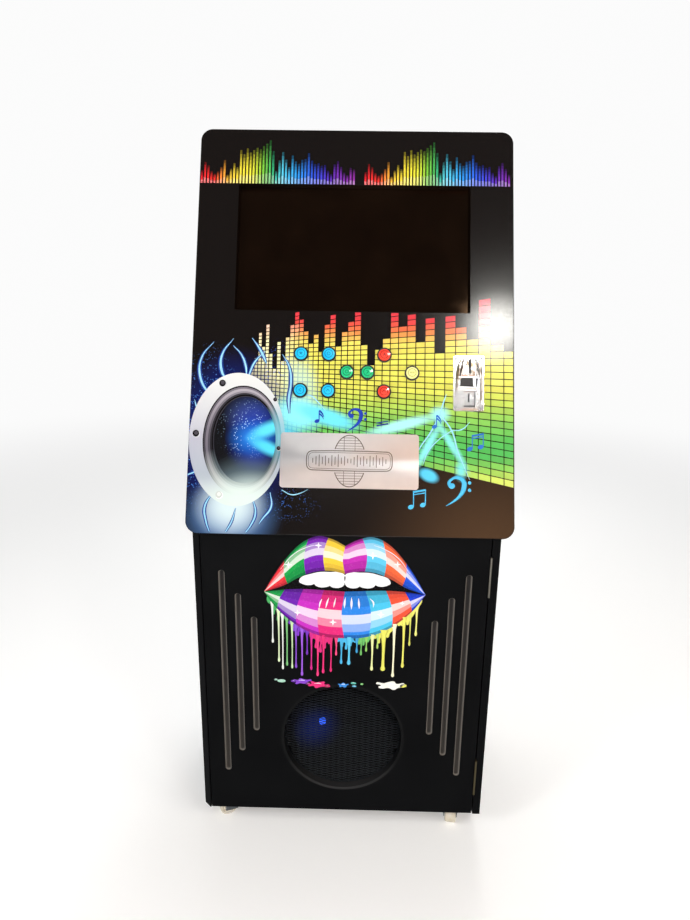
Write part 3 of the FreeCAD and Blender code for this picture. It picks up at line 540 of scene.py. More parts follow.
# grey enamel on folded steel, moulded red rocker, and the lamp's blue lens, which glows a little
steelCase = makeFinish("paintedSteelCase", "#4B4D50", "#55575A", rough=(0.4, 0.52), grain=0.9, bump=0.02, patch=60)
redRocker = makeFinish("glossRedRocker", "#B4130F", "#9D0F0C", rough=(0.2, 0.3), grain=2, bump=0.004, patch=10)
blueLens = makeFinish("blueLampLens", "#2A55FF", rough=(0.1, 0.16), grain=2, bump=0.004,
                      sockets={"Emission Color": toLinear("#3A72FF"), "Emission Strength": 0.7})
# hinge strip: nickel flash that has worn to brass lower down
hingeBrass = makeFinish("nickelOverBrass", "#CFC9B8", metallic=1.0, rough=(0.28, 0.4), grain=2, bump=0.006)
tree = hingeBrass.node_tree
height = addNode(tree, "ShaderNodeSeparateXYZ", None, {0: objectPlace(tree)}).outputs["Z"]
plating = addMix(tree, addRange(tree, height, (0.2, 0.6)), "#A89A76", "#D2CCBC")
tree.links.new(plating, tree.nodes["Principled BSDF"].inputs["Base Color"])


def makeCap(name, colour, second, glow):
    # cast acrylic cap over a lamp: bright body, clear glossy skin
    return makeFinish(name, colour, second, rough=(0.12, 0.2), grain=3, bump=0.004, patch=16, sockets={
        "Coat Weight": 0.6, "Coat Roughness": 0.05, "IOR": 1.49, "Emission Color": toLinear(colour),
        "Emission Strength": glow})


def addLampGlow(finish, middle, reach, colour, strength):
    # blue light from the small lamp behind the grille, spilling on what stands round it
    tree = finish.node_tree
    shader = tree.nodes["Principled BSDF"]
    shader.inputs["Emission Color"].default_value = toLinear(colour)
    away = addNode(tree, "ShaderNodeVectorMath", {"operation": "DISTANCE", 1: middle}, {0: objectPlace(tree)})
    spill = addRange(tree, away.outputs["Value"], (0.0, reach), (strength, 0.0), "SMOOTHERSTEP")
    tree.links.new(spill, shader.inputs["Emission Strength"])
    return finish


# where the lamp's light lands and how far it reaches, in metres, its colour and its strength
lampSpill = {
    "cone": ((-0.078, -0.152, 0.270), 0.08, "#2E50E0", 0.13),
    "grille": ((-0.078, -0.191, 0.300), 0.085, "#2A4BD8", 0.03),
}
addLampGlow(paperCone, *lampSpill["cone"])
grilleSteel = addLampGlow(powderCoat.copy(), *lampSpill["grille"])
grilleSteel.name = "powderCoatedGrilleSteel"

slotFinish = {
    "board_black": satinLacquerMdf, "front_print": glossVinylBlack, "steel_brushed": brushedStainless,
    "chrome": chromePlate, "zinc": zincPlate, "hinge_metal": hingeBrass, "black_plastic": mouldedAbs,
    "screen_glass": displayGlass, "cap_blue": makeCap("skyBlueAcrylic", "#10B4E8", "#28C4F0", 0.22),
    "cap_green": makeCap("greenAcrylic", "#10B273", "#27C283", 0.2),
    "cap_red": makeCap("redAcrylic", "#EA3622", "#F2493A", 0.2),
    "cap_yellow": makeCap("paleYellowAcrylic", "#E9E890", "#F3F0A6", 0.18),
    "grille_black": powderCoat, "paper_cone": paperCone, "rubber_black": butylRubber, "magnet_black": ferrite,
    "wheel_nylon": milkyNylon, "lamp_blue": blueLens, "case_grey": steelCase, "switch_red": redRocker,
}
for part in frame["record"]["subparts"]:
    node = frame["nodes"][part["node"]]
    for slot in node.material_slots:
        slot.material = slotFinish[part["material_slot"]]

# the routed grooves show the thinly coated, paler board inside them, with a painted highlight on the walls near the
# face and a tone that turns paler towards the floor; the loudspeaker hole's edge is a little paler, with a painted
# highlight on its lower part
edges = {
    # distances from the door's middle line, depths into the board, heights over the floor, all in metres
    "grooves": (0.196, 0.296), "skin": (0.0006, 0.003), "deep": 0.011, "lip": (0.0062, 0.0035), "worn": (0.72, 0.13),
    "holeRadius": 0.1495, "holeFoot": (-0.06, -0.14), "fibre": 12,
}
holeLow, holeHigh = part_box("speaker_grille")
hole = (holeLow + holeHigh) / 2
boardEdgesWithPaintedHighlights = satinLacquerMdf.copy()
boardEdgesWithPaintedHighlights.name = "satinLacquerRoutedEdgesPaintedHighlights"
tree = boardEdgesWithPaintedHighlights.node_tree
shader = tree.nodes["Principled BSDF"]
laid = shader.inputs["Base Color"].links[0].from_socket
place = objectPlace(tree)
shifted = addVector(tree, "ADD", place, (-doorMiddle, 0, 0))
spot = addNode(tree, "ShaderNodeSeparateXYZ", None, {0: shifted})
across, deep, height = (spot.outputs[axis] for axis in "XYZ")
side = addMath(tree, "ABSOLUTE", across)
groove = addMath(tree, "GREATER_THAN", side, edges["grooves"][0])
for part in (addMath(tree, "LESS_THAN", side, edges["grooves"][1]),
             addRange(tree, deep, [doorLow.y + depth for depth in edges["skin"]]),
             addMath(tree, "LESS_THAN", deep, doorLow.y + edges["deep"])):
    groove = addMath(tree, "MULTIPLY", groove, part)
core = addMix(tree, addNoise(tree, place, edges["fibre"], 5.0), "#242426", "#302E2D")
# the groove colour turns paler towards the floor
worn = addMix(tree, addRange(tree, height, edges["worn"]), core, "#403D3A")
# painted highlight: near the face the groove walls turn pale, as where a rounded edge catches the light
lip = addRange(tree, deep, [doorLow.y + depth for depth in edges["lip"]], (0.0, 0.75))
whole = addMix(tree, groove, laid, addMix(tree, lip, worn, "#8A857E"))
radial = addVector(tree, "SUBTRACT", shifted, (hole.x - doorMiddle, 0, hole.z))
away = addLength(tree, addVector(tree, "MULTIPLY", radial, (1, 0, 1)))
rim = addMath(tree, "LESS_THAN", away, edges["holeRadius"])
# painted highlight: the hole's rim turns paler on its lower part
rimLowerHighlight = addRange(tree, height, [hole.z + drop for drop in edges["holeFoot"]])
whole = addMix(tree, rim, whole, addMix(tree, rimLowerHighlight, "#131415", "#2E2E2F"))
tree.links.new(whole, shader.inputs["Base Color"])
for slot in frame["nodes"]["door_panel"].material_slots:
    slot.material = boardEdgesWithPaintedHighlights


print("stage: bar wall")

wall = {
    # the wall runs away to the left, so its lines meet at one point on the level line
    "meeting": -793.0, "spread": 1130.0, "step": 0.02622, "level": 369, "rowPitch": 15.8,
    "below": 16, "above": 14, "rightEdge": 358.4, "screenFoot": 501.6, "gap": 2.0, "firstColumn": -1,
    # rows above the level line, from the right-hand column to the left
    "heights": [3, 4, 11, 5, 7, 9, 3, 9, 5, 10, 8, 11, 6, 4, 1, 5, 12, 10, 8, 5, 12, 10, 4, 8, 6, 9, 12, 14, 11, 8,
                2, 7, 0, 4, 12, 6, 10, 3, 0],
    "layer": 0.1, "flatLeft": 268, "paleFrom": -110, "paleOver": 60, "pale": 0.55, "paleBelow": 470,
    "colours": [(100, "#DCE878"), (128, "#CFE36A"), (150, "#8ECF5C"), (178, "#4DB95B"), (215, "#55BE58"),
                (262, "#8CCB5B"), (300, "#C2D85A"), (330, "#E2E060"), (395, "#F1EA68"), (430, "#F5E068"),
                (446, "#F5B45C"), (462, "#F2784A"), (480, "#EC4448"), (520, "#E63C50")],
}


def wallSpot(column, row):
    shrink = 1 / (1 + wall["step"] * column)
    across = wall["meeting"] + wall["spread"] * shrink
    if across > wall["rightEdge"]:
        across = wall["rightEdge"]
        shrink = (across - wall["meeting"]) / wall["spread"]
    up = wall["level"] + row * wall["rowPitch"] * shrink
    return across, min(up, wall["screenFoot"]) if across < wall["flatLeft"] else up


columns = len(wall["heights"])
rows = wall["below"] + wall["above"]
clearSelection()
bpy.ops.mesh.primitive_grid_add(x_subdivisions=columns, y_subdivisions=rows, size=1)
barWall = bpy.context.object


def aboveTop(face):
    column = int((0.5 - face.center.x) * columns)
    return int((face.center.y + 0.5) * rows) - wall["below"] >= wall["heights"][column]


choose(barWall, "FACE", aboveTop)
bpy.ops.mesh.delete(type="FACE")
endEdit()
for vertex in barWall.data.vertices:
    column = (0.5 - vertex.co.x) * columns + wall["firstColumn"]
    row = (vertex.co.y + 0.5) * rows - wall["below"]
    across, up = wallSpot(column, row)
    vertex.co = millimetres(across, up, wall["layer"])
bpy.ops.object.mode_set(mode="EDIT")
bpy.ops.mesh.select_all(action="SELECT")
bpy.ops.mesh.inset(thickness=wall["gap"] / 2000, use_individual=True)
bpy.ops.mesh.select_all(action="INVERT")
bpy.ops.mesh.delete(type="FACE")
endEdit()


def wallColour(across, up):
    colour = rampColour(wall["colours"], up)
    # the wall is bleached by the glow at its left end, and no two cells are quite alike
    pale = 0
    if up < wall["paleBelow"]:
        pale = max(0.0, min(1.0, (wall["paleFrom"] - across) / wall["paleOver"])) * wall["pale"]
    drift = 0.94 + 0.06 * math.sin(across * 0.31 + up * 0.17)
    return tuple(c * drift for c in blendColours(colour, toLinear("#FFFFE6"), pale)[:3]) + (1.0,)


inkPiece(barWall, wallColour)
# the coin unit sits in its own opening in the board, so the print stops there
coinHole = {"left": 231.7, "right": 285.7, "foot": 289.0, "top": 396.0}
for edge, place in coinHole.items():
    cutFlat(barWall, millimetres(place, place, 0), edge in ("left", "right"))
choose(barWall, "FACE", lambda face: coinHole["left"] < face.center.x * 1000 < coinHole["right"]
       and coinHole["foot"] < face.center.y * 1000 < coinHole["top"])
bpy.ops.mesh.delete(type="FACE")
endEdit()
settle(barWall, "barWall", "cabinet", glowInk, onPanel)


print("stage: rainbow bars")

rainbow = {
    "foot": 801, "gap": 2.9, "starts": [-359.0, 18], "pitch": 7.45, "rightEdge": 359, "bands": 8, "layer": 0.1,
    "heights": [30, 50, 42, 28, 22, 27, 38, 55, 20, 34, 48, 38, 80, 70, 84, 74, 80, 86, 82, 90, 96, 104,
                78, 30, 56, 76, 58, 40, 68, 54, 48, 58, 60, 74, 56, 48, 50, 44, 46, 32, 24, 48, 56, 42,
                28, 22, 40, 36],
    "colours": [(0.0, "#E0202C"), (0.09, "#E8332A"), (0.13, "#F08A34"), (0.2, "#F3D23C"), (0.33, "#E6E23A"),
                (0.4, "#7CC83C"), (0.46, "#2FA85A"), (0.53, "#52C6E2"), (0.62, "#2E9CEC"), (0.72, "#2C5BE2"),
                (0.8, "#4236C8"), (0.88, "#6A2BB0"), (1.0, "#8C2CA0")],
}
bars = []
for start in rainbow["starts"]:
    clearSelection()
    bpy.ops.mesh.primitive_plane_add(size=1)
    strip = bpy.context.object
    bpy.ops.object.mode_set(mode="EDIT")
    bpy.ops.mesh.delete(type="FACE")
    for number, tall in enumerate(rainbow["heights"]):
        across = start + (number + 0.5) * rainbow["pitch"]
        if across + rainbow["pitch"] / 2 > rainbow["rightEdge"]:
            break
        # bands up each bar, of which the upper ones fade into the black
        for band in range(rainbow["bands"]):
            share = (band + 0.5) / rainbow["bands"]
            bpy.ops.mesh.primitive_plane_add(size=0.001, location=millimetres(
                across, rainbow["foot"] + tall * share, rainbow["layer"]))
            bpy.ops.transform.resize(value=(rainbow["pitch"] - rainbow["gap"], tall / rainbow["bands"], 1))
    bpy.ops.mesh.select_all(action="SELECT")
    bpy.ops.mesh.remove_doubles(threshold=0.00001)
    endEdit()

    def barColour(across, up, start=start):
        number = min(int((across - start) / rainbow["pitch"]), len(rainbow["heights"]) - 1)
        share = (up - rainbow["foot"]) / rainbow["heights"][number]
        colour = rampColour(rainbow["colours"], number / (len(rainbow["heights"]) - 1))
        if share < 0.26:
            colour = blendColours(colour, (1, 1, 1, 1), 0.16)
        fade = max(0.03, 1 - max(0.0, share - 0.42) / 0.6)
        return tuple(c * fade for c in colour[:3]) + (1.0,)

    inkPiece(strip, barColour)
    bars.append(strip)
settle(joinPieces(bars), "rainbowBars", "cabinet", plainInk, onPanel)


print("stage: printed loudspeaker")

printedSpeaker = {
    # middle, half sizes, and the ink from the foot (0) to the top (1)
    "discs": [
        ((-252.5, 209), (106.5, 149), [(0, "#DCE6E4"), (0.22, "#AEB8C4"), (0.5, "#B9BAC8"), (0.75, "#D6D8DC"),
                                       (1, "#E6E9E8")]),
        ((-241, 206), (87.5, 123), [(0, "#B9C3C4"), (0.35, "#2B282E"), (1, "#1E1B20")]),
        ((-240.5, 205.5), (85.5, 120.5), [(0, "#C3CCCC"), (0.4, "#45424A"), (0.6, "#4C4952"), (1, "#7A747E")]),
        ((-239.8, 205.5), (82.5, 116.5), [(0, "#D2DAD8"), (0.4, "#716D79"), (0.6, "#7C7783"), (1, "#B3ADB6")]),
        ((-238.8, 206), (78, 110.5), [(0, "#C0CBCB"), (0.4, "#4E4B55"), (0.6, "#57535D"), (1, "#8C8791")]),
        ((-237.8, 206.5), (74.5, 106), [(0, "#98A6A9"), (0.4, "#232127"), (1, "#37343B")]),
        ((-236.5, 207), (72, 102), [(0, "#6F8086"), (0.4, "#0F0E12"), (1, "#131116")]),
        ((-235.5, 207), (69.8, 98.5), [(0, "#6C7C84"), (0.4, "#2A2830"), (1, "#3A373F")]),
    ],
    "cone": ((-234.8, 207.5), (68.4, 96.6)),
    "screws": [(-289, 334), (-170, 299), (-344, 220), (-288, 85), (-159.5, 190)],
    "screwSize": 8.4, "small": (1, 4), "foggy": 3,
    # a screw's rim, head and shine: shift, share of its size, ink, ink in the fog
    "screwParts": [((1, -1), 1.0, "#D5D9DC", "#FFFFFF"), ((0, 0), 0.92, "#17161A", "#C9D2CF"),
                   ((0.5, 1), 0.55, "#4B474E", "#E4EAE7")],
}
layers = []
for number, (middle, radii, stops) in enumerate(printedSpeaker["discs"]):
    disc = drawDisc(middle, radii, 0.2 + 0.03 * number, sides=96)
    # cut across into strips, so that the ink can go from its foot colour to its top colour
    for cut in range(-9, 10):
        cutFlat(disc, millimetres(middle[0], middle[1] + radii[1] * cut / 10, 0), False)
    layers.append(inkPiece(disc, lambda across, up, middle=middle, radii=radii, stops=stops:
                           rampColour(stops, 0.5 + (up - middle[1]) / radii[1] / 2), smooth=True))
settle(joinPieces(layers), "printedSpeakerRings", "cabinet", ringInk, onPanel)
cone = drawDisc(*printedSpeaker["cone"], 0.45, sides=96)
settle(cone, "printedSpeakerCone", "cabinet", coneInk, onPanel)
screws = []
for number, (across, up) in enumerate(printedSpeaker["screws"]):
    size = printedSpeaker["screwSize"] * (0.6 if number in printedSpeaker["small"] else 1)
    for part, (shift, share, ink, fogInk) in enumerate(printedSpeaker["screwParts"]):
        spot = (across + shift[0], up + shift[1])
        screw = drawDisc(spot, (size * share * 0.95, size * share), 0.48 + 0.03 * part, sides=24)
        screws.append(inkAll(screw, fogInk if number == printedSpeaker["foggy"] else ink))
settle(joinPieces(screws), "printedSpeakerScrews", "cabinet", plainInk, onPanel)


print("stage: light streaks and music signs")

streaks = {
    "colour": "#9FDDF8", "edge": "#16409F", "haloed": 12, "haloWide": 2.3,
    "lines": [
        [(-312, 428, 0.4), (-338, 392, 1.6), (-340, 350, 2.4), (-320, 312, 2.0), (-305, 300, 0.6)],
        [(-268, 436, 0.4), (-292, 400, 2.0), (-292, 362, 2.6), (-276, 336, 1.0)],
        [(-268, 420, 0.4), (-248, 398, 1.6), (-238, 372, 2.0), (-236, 352, 1.0)],
        [(-226, 438, 0.4), (-210, 416, 1.8), (-199, 396, 2.2), (-192, 380, 0.6)],
        [(-196, 408, 0.5), (-218, 384, 1.8), (-229, 358, 1.6), (-231, 350, 0.6)],
        [(-157, 402, 0.4), (-141, 374, 1.6), (-136, 338, 2.2), (-140, 300, 2.4), (-138, 268, 1.0)],
        [(-300, 92, 0.5), (-318, 58, 1.8), (-314, 26, 1.6), (-306, 4, 1.0)],
        [(-214, 80, 0.5), (-206, 46, 1.8), (-216, 18, 1.4), (-226, 4, 1.0)],
        [(-250, 56, 0.5), (-258, 26, 1.5), (-270, 4, 1.0)],
        [(-175, 92, 0.5), (-172, 60, 1.8), (-190, 34, 1.4), (-198, 22, 0.4)],
        [(-358, 128, 1.2), (-344, 134, 1.4), (-338, 138, 0.3)],
        [(-352, 166, 0.8), (-342, 164, 1.4), (-336, 164, 0.3)],
        [(-340, 270, 0.4), (-346, 282, 1.6), (-350, 296, 0.4)],
        [(-118, 306, 0.5), (-95, 310, 1.4), (-72, 292, 1.2), (-58, 276, 0.5)],
        [(-150, 98, 0.8), (-128, 88, 1.2), (-108, 92, 1.0), (-92, 100, 0.4)],
        [(196, 272, 1.2), (176, 232, 1.6), (152, 196, 1.2), (140, 168, 0.4)],
        [(196, 272, 1.2), (222, 236, 1.8), (236, 190, 1.4), (250, 156, 0.8), (262, 128, 0.4)],
        [(222, 236, 1.0), (192, 214, 1.2), (168, 184, 1.0), (160, 160, 0.4)],
        [(222, 236, 1.0), (246, 240, 1.4), (262, 256, 0.5)],
        [(196, 272, 1.2), (204, 300, 1.6), (210, 318, 0.5)],
    ],
}
thin = inkAll(drawStrokes(streaks["lines"], 0.15, flatness=0.01), streaks["colour"])
wide = [[(x, y, half * streaks["haloWide"]) for x, y, half in line] for line in streaks["lines"][:streaks["haloed"]]]
halo = inkAll(drawStrokes(wide, 0.125, flatness=0.003), streaks["edge"])
settle(joinPieces([halo, thin]), "lightStreaks", "cabinet", plainInk, onPanel)


def noteHead(across, up, size, turn=22):
    return drawDisc((across, up), (size, size * 0.74), 0.4, turn, 24)


signs = {
    "dark": "#1D2F8C", "deep": "#1F3FB4", "bright": "#49C0F2", "mid": "#2D6FD0", "layer": 0.44, "stem": 1.1,
    "pairs": [((262, 196), 24, 30, "mid", 6.5), ((134, 66), 26, 34, "bright", 6.5)],
    "singles": [((184, 244), 26, "mid", 5.5), ((-76, 252), 24, "deep", 5.5)],
    "clefs": [((12, 262), 1.0, "deep"), ((238, 110), 1.25, "bright")],
    "sweep": [(-14, 2, 3.4), (-17, 8, 3.0), (-12, 15, 2.4), (-2, 18, 3.0), (8, 12, 4.2), (9, 0, 4.4), (2, -14, 3.0),
              (-12, -26, 1.6), (-22, -32, 0.5)],
    "clefDots": [((-12, 3), (5.5, 5.0), 24), ((19, 9), (3.0, 3.0), 20), ((19, -4), (3.0, 3.0), 20)],
    "dashes": [[(56, 250, 1.3), (82, 255, 1.3)], [(56, 244, 1.6), (82, 249, 1.6)]],
}
drawn = []
for (across, up), wide, tall, ink, size in signs["pairs"]:
    left, right, head = across + size - 1, across + wide + size - 1, up + tall
    parts = [noteHead(across, up, size), noteHead(across + wide, up + 5, size), drawStrokes([
        [(left, up, signs["stem"]), (left, head, signs["stem"])],
        [(right, up + 5, signs["stem"]), (right, head + 5, signs["stem"])],
        [(left - 1, head - 1, 2.2), (right + 1, head + 4, 2.2)],
        [(left - 1, head - 7, 1.2), (right + 1, head - 2, 1.2)],
    ], signs["layer"])]
    drawn += [inkAll(part, signs[ink]) for part in parts]
for (across, up), tall, ink, size in signs["singles"]:
    stem, head = across + size - 1, up + tall
    parts = [noteHead(across, up, size), drawStrokes([
        [(stem, up, signs["stem"]), (stem, head, signs["stem"])],
        [(stem, head, 2.0), (stem + 7, head - 7, 1.6), (stem + 11, head - 15, 0.4)],
        [(stem, head - 7, 1.8), (stem + 7, head - 13, 1.3), (stem + 10, head - 20, 0.4)],
    ], signs["layer"])]
    drawn += [inkAll(part, signs[ink]) for part in parts]
for (across, up), size, ink in signs["clefs"]:
    sweep = [(across + x * size, up + y * size, half * size) for x, y, half in signs["sweep"]]
    parts = [drawStrokes([sweep], signs["layer"])]
    for (x, y), (wide, tall), sides in signs["clefDots"]:
        parts.append(drawDisc((across + x * size, up + y * size), (wide * size, tall * size), 0.46, 0, sides))
    drawn += [inkAll(part, signs[ink]) for part in parts]
drawn.append(inkAll(drawStrokes(signs["dashes"], signs["layer"]), signs["dark"]))
settle(joinPieces(drawn), "musicSigns", "cabinet", plainInk, onPanel)


print("stage: lips transfer on the door")

lips = {
    "outerTop": [(0, 716), (30, 732), (64, 738), (104, 716), (148, 662), (184, 600)],
    "innerTop": [(0, 648), (36, 655), (72, 651), (106, 636), (140, 616), (184, 600)],
    "innerFoot": [(0, 604), (38, 606), (76, 608), (112, 608), (146, 605), (184, 600)],
    "outerFoot": [(0, 485), (46, 488), (90, 504), (130, 532), (162, 566), (184, 600)],
    "upperInks": ["#E0313A", "#19A24A", "#7B22B8", "#F1C93A", "#C22CB4", "#5CC6EE", "#F0663A", "#1E55DC"],
    "lowerInks": ["#1C9A48", "#6D22B0", "#C42CC0", "#E0287A", "#2B86E8", "#48C2EA", "#EE5236", "#1A3FD0"],
    "perInk": 14, "rows": 30, "bulge": 0.045, "shade": (0, 0, 0.02, 1),
    "mouth": [(-140, 612), (-72, 646), (-36, 650), (0, 644), (36, 650), (72, 646), (140, 612), (72, 606), (0, 603),
              (-72, 606)],
    # the right row of teeth, mirrored for the left one
    "teeth": [(104, 628), (72, 648), (36, 652), (1, 646), (1, 622, 0), (6, 616), (28, 614), (34, 618, 0), (40, 615),
              (64, 616), (70, 622, 0), (76, 619), (98, 622)],
    "gleams": [(-128, 668, 9), (-60, 716, 8), (62, 694, 10), (118, 674, 8), (-108, 548, 8), (-26, 526, 9),
               (84, 548, 9), (132, 578, 6)],
    "shines": [
        [(-52, 584, 0.4), (-56, 574, 1.8), (-58, 562, 0.5)], [(-36, 588, 0.4), (-40, 575, 2.0), (-43, 562, 0.5)],
        [(-20, 588, 0.4), (-23, 574, 1.8), (-25, 564, 0.5)], [(2, 590, 0.4), (0, 574, 2.4), (0, 562, 0.5)],
        [(16, 590, 0.4), (16, 574, 2.6), (16, 560, 0.5)], [(32, 588, 0.4), (33, 574, 2.2), (34, 562, 0.5)],
        [(58, 588, 0.4), (66, 578, 1.8), (66, 566, 0.5)],
        [(-146, 656, 0.3), (-118, 692, 0.8), (-84, 712, 0.7), (-62, 718, 0.3)],
        [(146, 652, 0.3), (120, 688, 0.8), (86, 711, 0.7), (64, 719, 0.3)],
    ],
}


def mouthPoint(curve, along):
    across, up = glide(curve, min(1.0, abs(along)))
    return (across if along >= 0 else -across), up


def drawLip(inner, outer, inks):
    count = len(inks) * lips["perInk"]
    clearSelection()
    bpy.ops.mesh.primitive_grid_add(x_subdivisions=count, y_subdivisions=lips["rows"], size=2)
    lip = bpy.context.object
    ink = lip.data.color_attributes.new("ink", "FLOAT_COLOR", "CORNER")
    for face in lip.data.polygons:
        number = min(int((face.center.x + 1) / 2 * len(inks)), len(inks) - 1)
        level = (face.center.y + 1) / 2
        base = toLinear(inks[number])
        # flat steps of tone, as a screen print has them, at another height in each block
        shift = 0.05 * ((number * 5) % 3 - 1)
        colour = base
        if level < 0.1 or level > 0.95:
            colour = blendColours(base, lips["shade"], 0.5)
        elif level < 0.3 + shift:
            colour = blendColours(base, lips["shade"], 0.2)
        elif 0.46 + shift < level < 0.66 + shift:
            colour = blendColours(base, (1, 1, 1, 1), 0.6)
        elif 0.66 + shift <= level < 0.82 + shift:
            colour = blendColours(base, (1, 1, 1, 1), 0.22)
        for corner in face.loop_indices:
            ink.data[corner].color = colour
    for vertex in lip.data.vertices:
        level = (vertex.co.y + 1) / 2
        bulge = lips["bulge"] * math.sin(math.pi * level) * (1 - vertex.co.x ** 2)
        along = vertex.co.x + (bulge if vertex.co.x > 0 else -bulge)
        a, b = mouthPoint(inner, along), mouthPoint(outer, along)
        vertex.co = millimetres(a[0] + (b[0] - a[0]) * level, a[1] + (b[1] - a[1]) * level, 0.12)
    return lip


upper = drawLip(lips["innerTop"], lips["outerTop"], lips["upperInks"])
lower = drawLip(lips["innerFoot"], lips["outerFoot"], lips["lowerInks"])
for lip in (upper, lower):
    pick(lip)
    bpy.ops.object.mode_set(mode="EDIT")
    bpy.ops.mesh.select_all(action="SELECT")
    bpy.ops.mesh.remove_doubles(threshold=0.00002)
    bpy.ops.mesh.normals_make_consistent(inside=False)
    endEdit()
    if lip.data.polygons[0].normal.z < 0:
        bpy.ops.object.mode_set(mode="EDIT")
        bpy.ops.mesh.flip_normals()
        endEdit()
mouth = inkAll(drawAreas([lips["mouth"]], 0.08), "#060507")
leftTeeth = [(-spot[0], *spot[1:]) for spot in lips["teeth"]]
teeth = inkAll(drawAreas([leftTeeth, lips["teeth"]], 0.1), "#F4F6FA")
gleams = []
for across, up, size in lips["gleams"]:
    # four-pointed stars with corners only
    star = [(0, 1), (0.22, 0.22), (1, 0), (0.22, -0.22), (0, -1), (-0.22, -0.22), (-1, 0), (-0.22, 0.22)]
    gleams.append([(across + size * x, up + size * y, 0) for x, y in star])
gleam = inkAll(drawAreas(gleams, 0.22, steps=1), "#FFFFFF")
shines = inkAll(drawStrokes(lips["shines"], 0.2), "#F5F3FF")
settle(joinPieces([upper, lower, mouth, teeth, gleam, shines]), "lipsTransfer", "door", doorInk,
       onDoor)


print("stage: drips and splashes")

drips = {
    # across, lowest point, half width, colour
    "runs": [
        (-166, 470, 1.8, "#E9EFEA"), (-152, 420, 2.0, "#DDF0C4"), (-143, 400, 1.8, "#EDF3EC"),
        (-133, 410, 1.8, "#7DC97E"), (-121, 403, 1.8, "#C8E6B4"), (-112, 404, 1.8, "#8D54D8"),
        (-98, 384, 2.2, "#9C5CE0"), (-86, 440, 1.8, "#7A36C4"), (-76, 400, 2.0, "#D02A8C"),
        (-61, 384, 2.2, "#F03C80"), (-48, 392, 2.4, "#E42E78"), (-30, 396, 2.0, "#DD2C74"),
        (-18, 440, 1.8, "#F2487F"), (-6, 418, 2.2, "#4AB6E8"), (12, 416, 3.0, "#5CC6EE"),
        (30, 448, 1.8, "#3FA0D8"), (40, 442, 1.8, "#73C46A"), (52, 452, 1.8, "#8FD068"),
        (66, 402, 2.4, "#E9F0A8"), (78, 460, 1.8, "#B8DC70"), (92, 402, 4.2, "#E6E465"),
        (116, 386, 2.6, "#F8F6D2"), (138, 412, 2.6, "#E8E66A"), (152, 470, 1.8, "#DDE06A"),
        (166, 496, 2.2, "#EDEB86"),
    ],
    # across, height, colour of the paint that hangs together under the lip
    "curtain": [(-150, 26, "#49AE62"), (-104, 24, "#7F3BC8"), (-52, 44, "#DA2C7C"), (8, 30, "#4AB6E8"),
                (48, 22, "#6CC06A"), (94, 34, "#E2E266"), (148, 26, "#E8E66E")],
    "tongues": [(0.35, 0.3), (0.8, 0.35), (1.0, 0.45), (0.7, 0.3), (0.4, 0.2)],
    "splashes": [
        ((-160, 371), 4, 2.5, "#8FB8AA"), ((-147, 368), 9, 4.5, "#A8D8C4"), ((-118, 368), 6, 2.5, "#7C3CC8"),
        ((-98, 368), 20, 6.5, "#8A48D4"), ((-84, 362), 6, 2.5, "#C23AA0"), ((-60, 360), 22, 7.5, "#E8307C"),
        ((-38, 356), 7, 2.5, "#E8307C"), ((0, 360), 11, 5.5, "#3C8CE0"), ((24, 366), 6, 3, "#58B8A8"),
        ((26, 358), 5, 2.2, "#69C4E8"), ((44, 364), 4, 2, "#7CCB70"), ((112, 362), 30, 9.5, "#F6F8EE"),
        ((142, 362), 8, 4.5, "#D9DA62"),
    ],
}


def lipFoot(across):
    best = min((glide(lips["outerFoot"], n / 60) for n in range(61)), key=lambda spot: abs(spot[0] - abs(across)))
    return best[1]


painted = []
runs = {}
for across, end, half, ink in drips["runs"]:
    top = lipFoot(across)
    runs.setdefault(ink, []).append([
        (across, top + 3, half * 2.6), (across, top - 10, half * 1.5), (across + 0.4, (top + end) / 2, half * 0.8),
        (across, end + 12, half * 0.9), (across, end + 4, half * 1.45), (across, end, half * 0.9),
        (across, end - 1.2, 0.3)])
for ink, group in runs.items():
    painted.append(inkAll(drawStrokes(group, 0.06, steps=4, flatness=0.012), ink))
for across, tall, ink in drips["curtain"]:
    outline = [(across - 24, lipFoot(across - 24) + 5)]
    for n, (long, short) in enumerate(drips["tongues"]):
        x = across - 20 + n * 10
        outline += [(x - 3, lipFoot(x) - tall * long), (x + 3, lipFoot(x) - tall * short)]
    outline += [(across + 26, lipFoot(across + 26) + 5), (across, lipFoot(across) + 7)]
    painted.append(inkAll(drawAreas([outline], 0.04), ink))
for number, ((across, up), wide, tall, ink) in enumerate(drips["splashes"]):
    shape = []
    for n in range(14):
        angle = 2 * math.pi * n / 14
        reach = 1 + (0.28 * math.sin(n * 2.4 + number * 1.7) if wide > 10 else 0.08 * math.sin(n + number))
        shape.append((across + wide * reach * math.cos(angle), up + tall * reach * math.sin(angle)))
    painted.append(inkAll(drawAreas([shape], 0.05), ink))
    shine = [(across - wide * 0.4, up + tall * 0.35, 0.3), (across, up + tall * 0.5, tall * 0.14),
             (across + wide * 0.35, up + tall * 0.35, 0.3)]
    painted.append(inkAll(drawStrokes([shine], 0.1, steps=4), "#FFFFFF"))
settle(joinPieces(painted), "dripTransfer", "door", doorInk, onDoor)


print("stage: expanded metal grille")

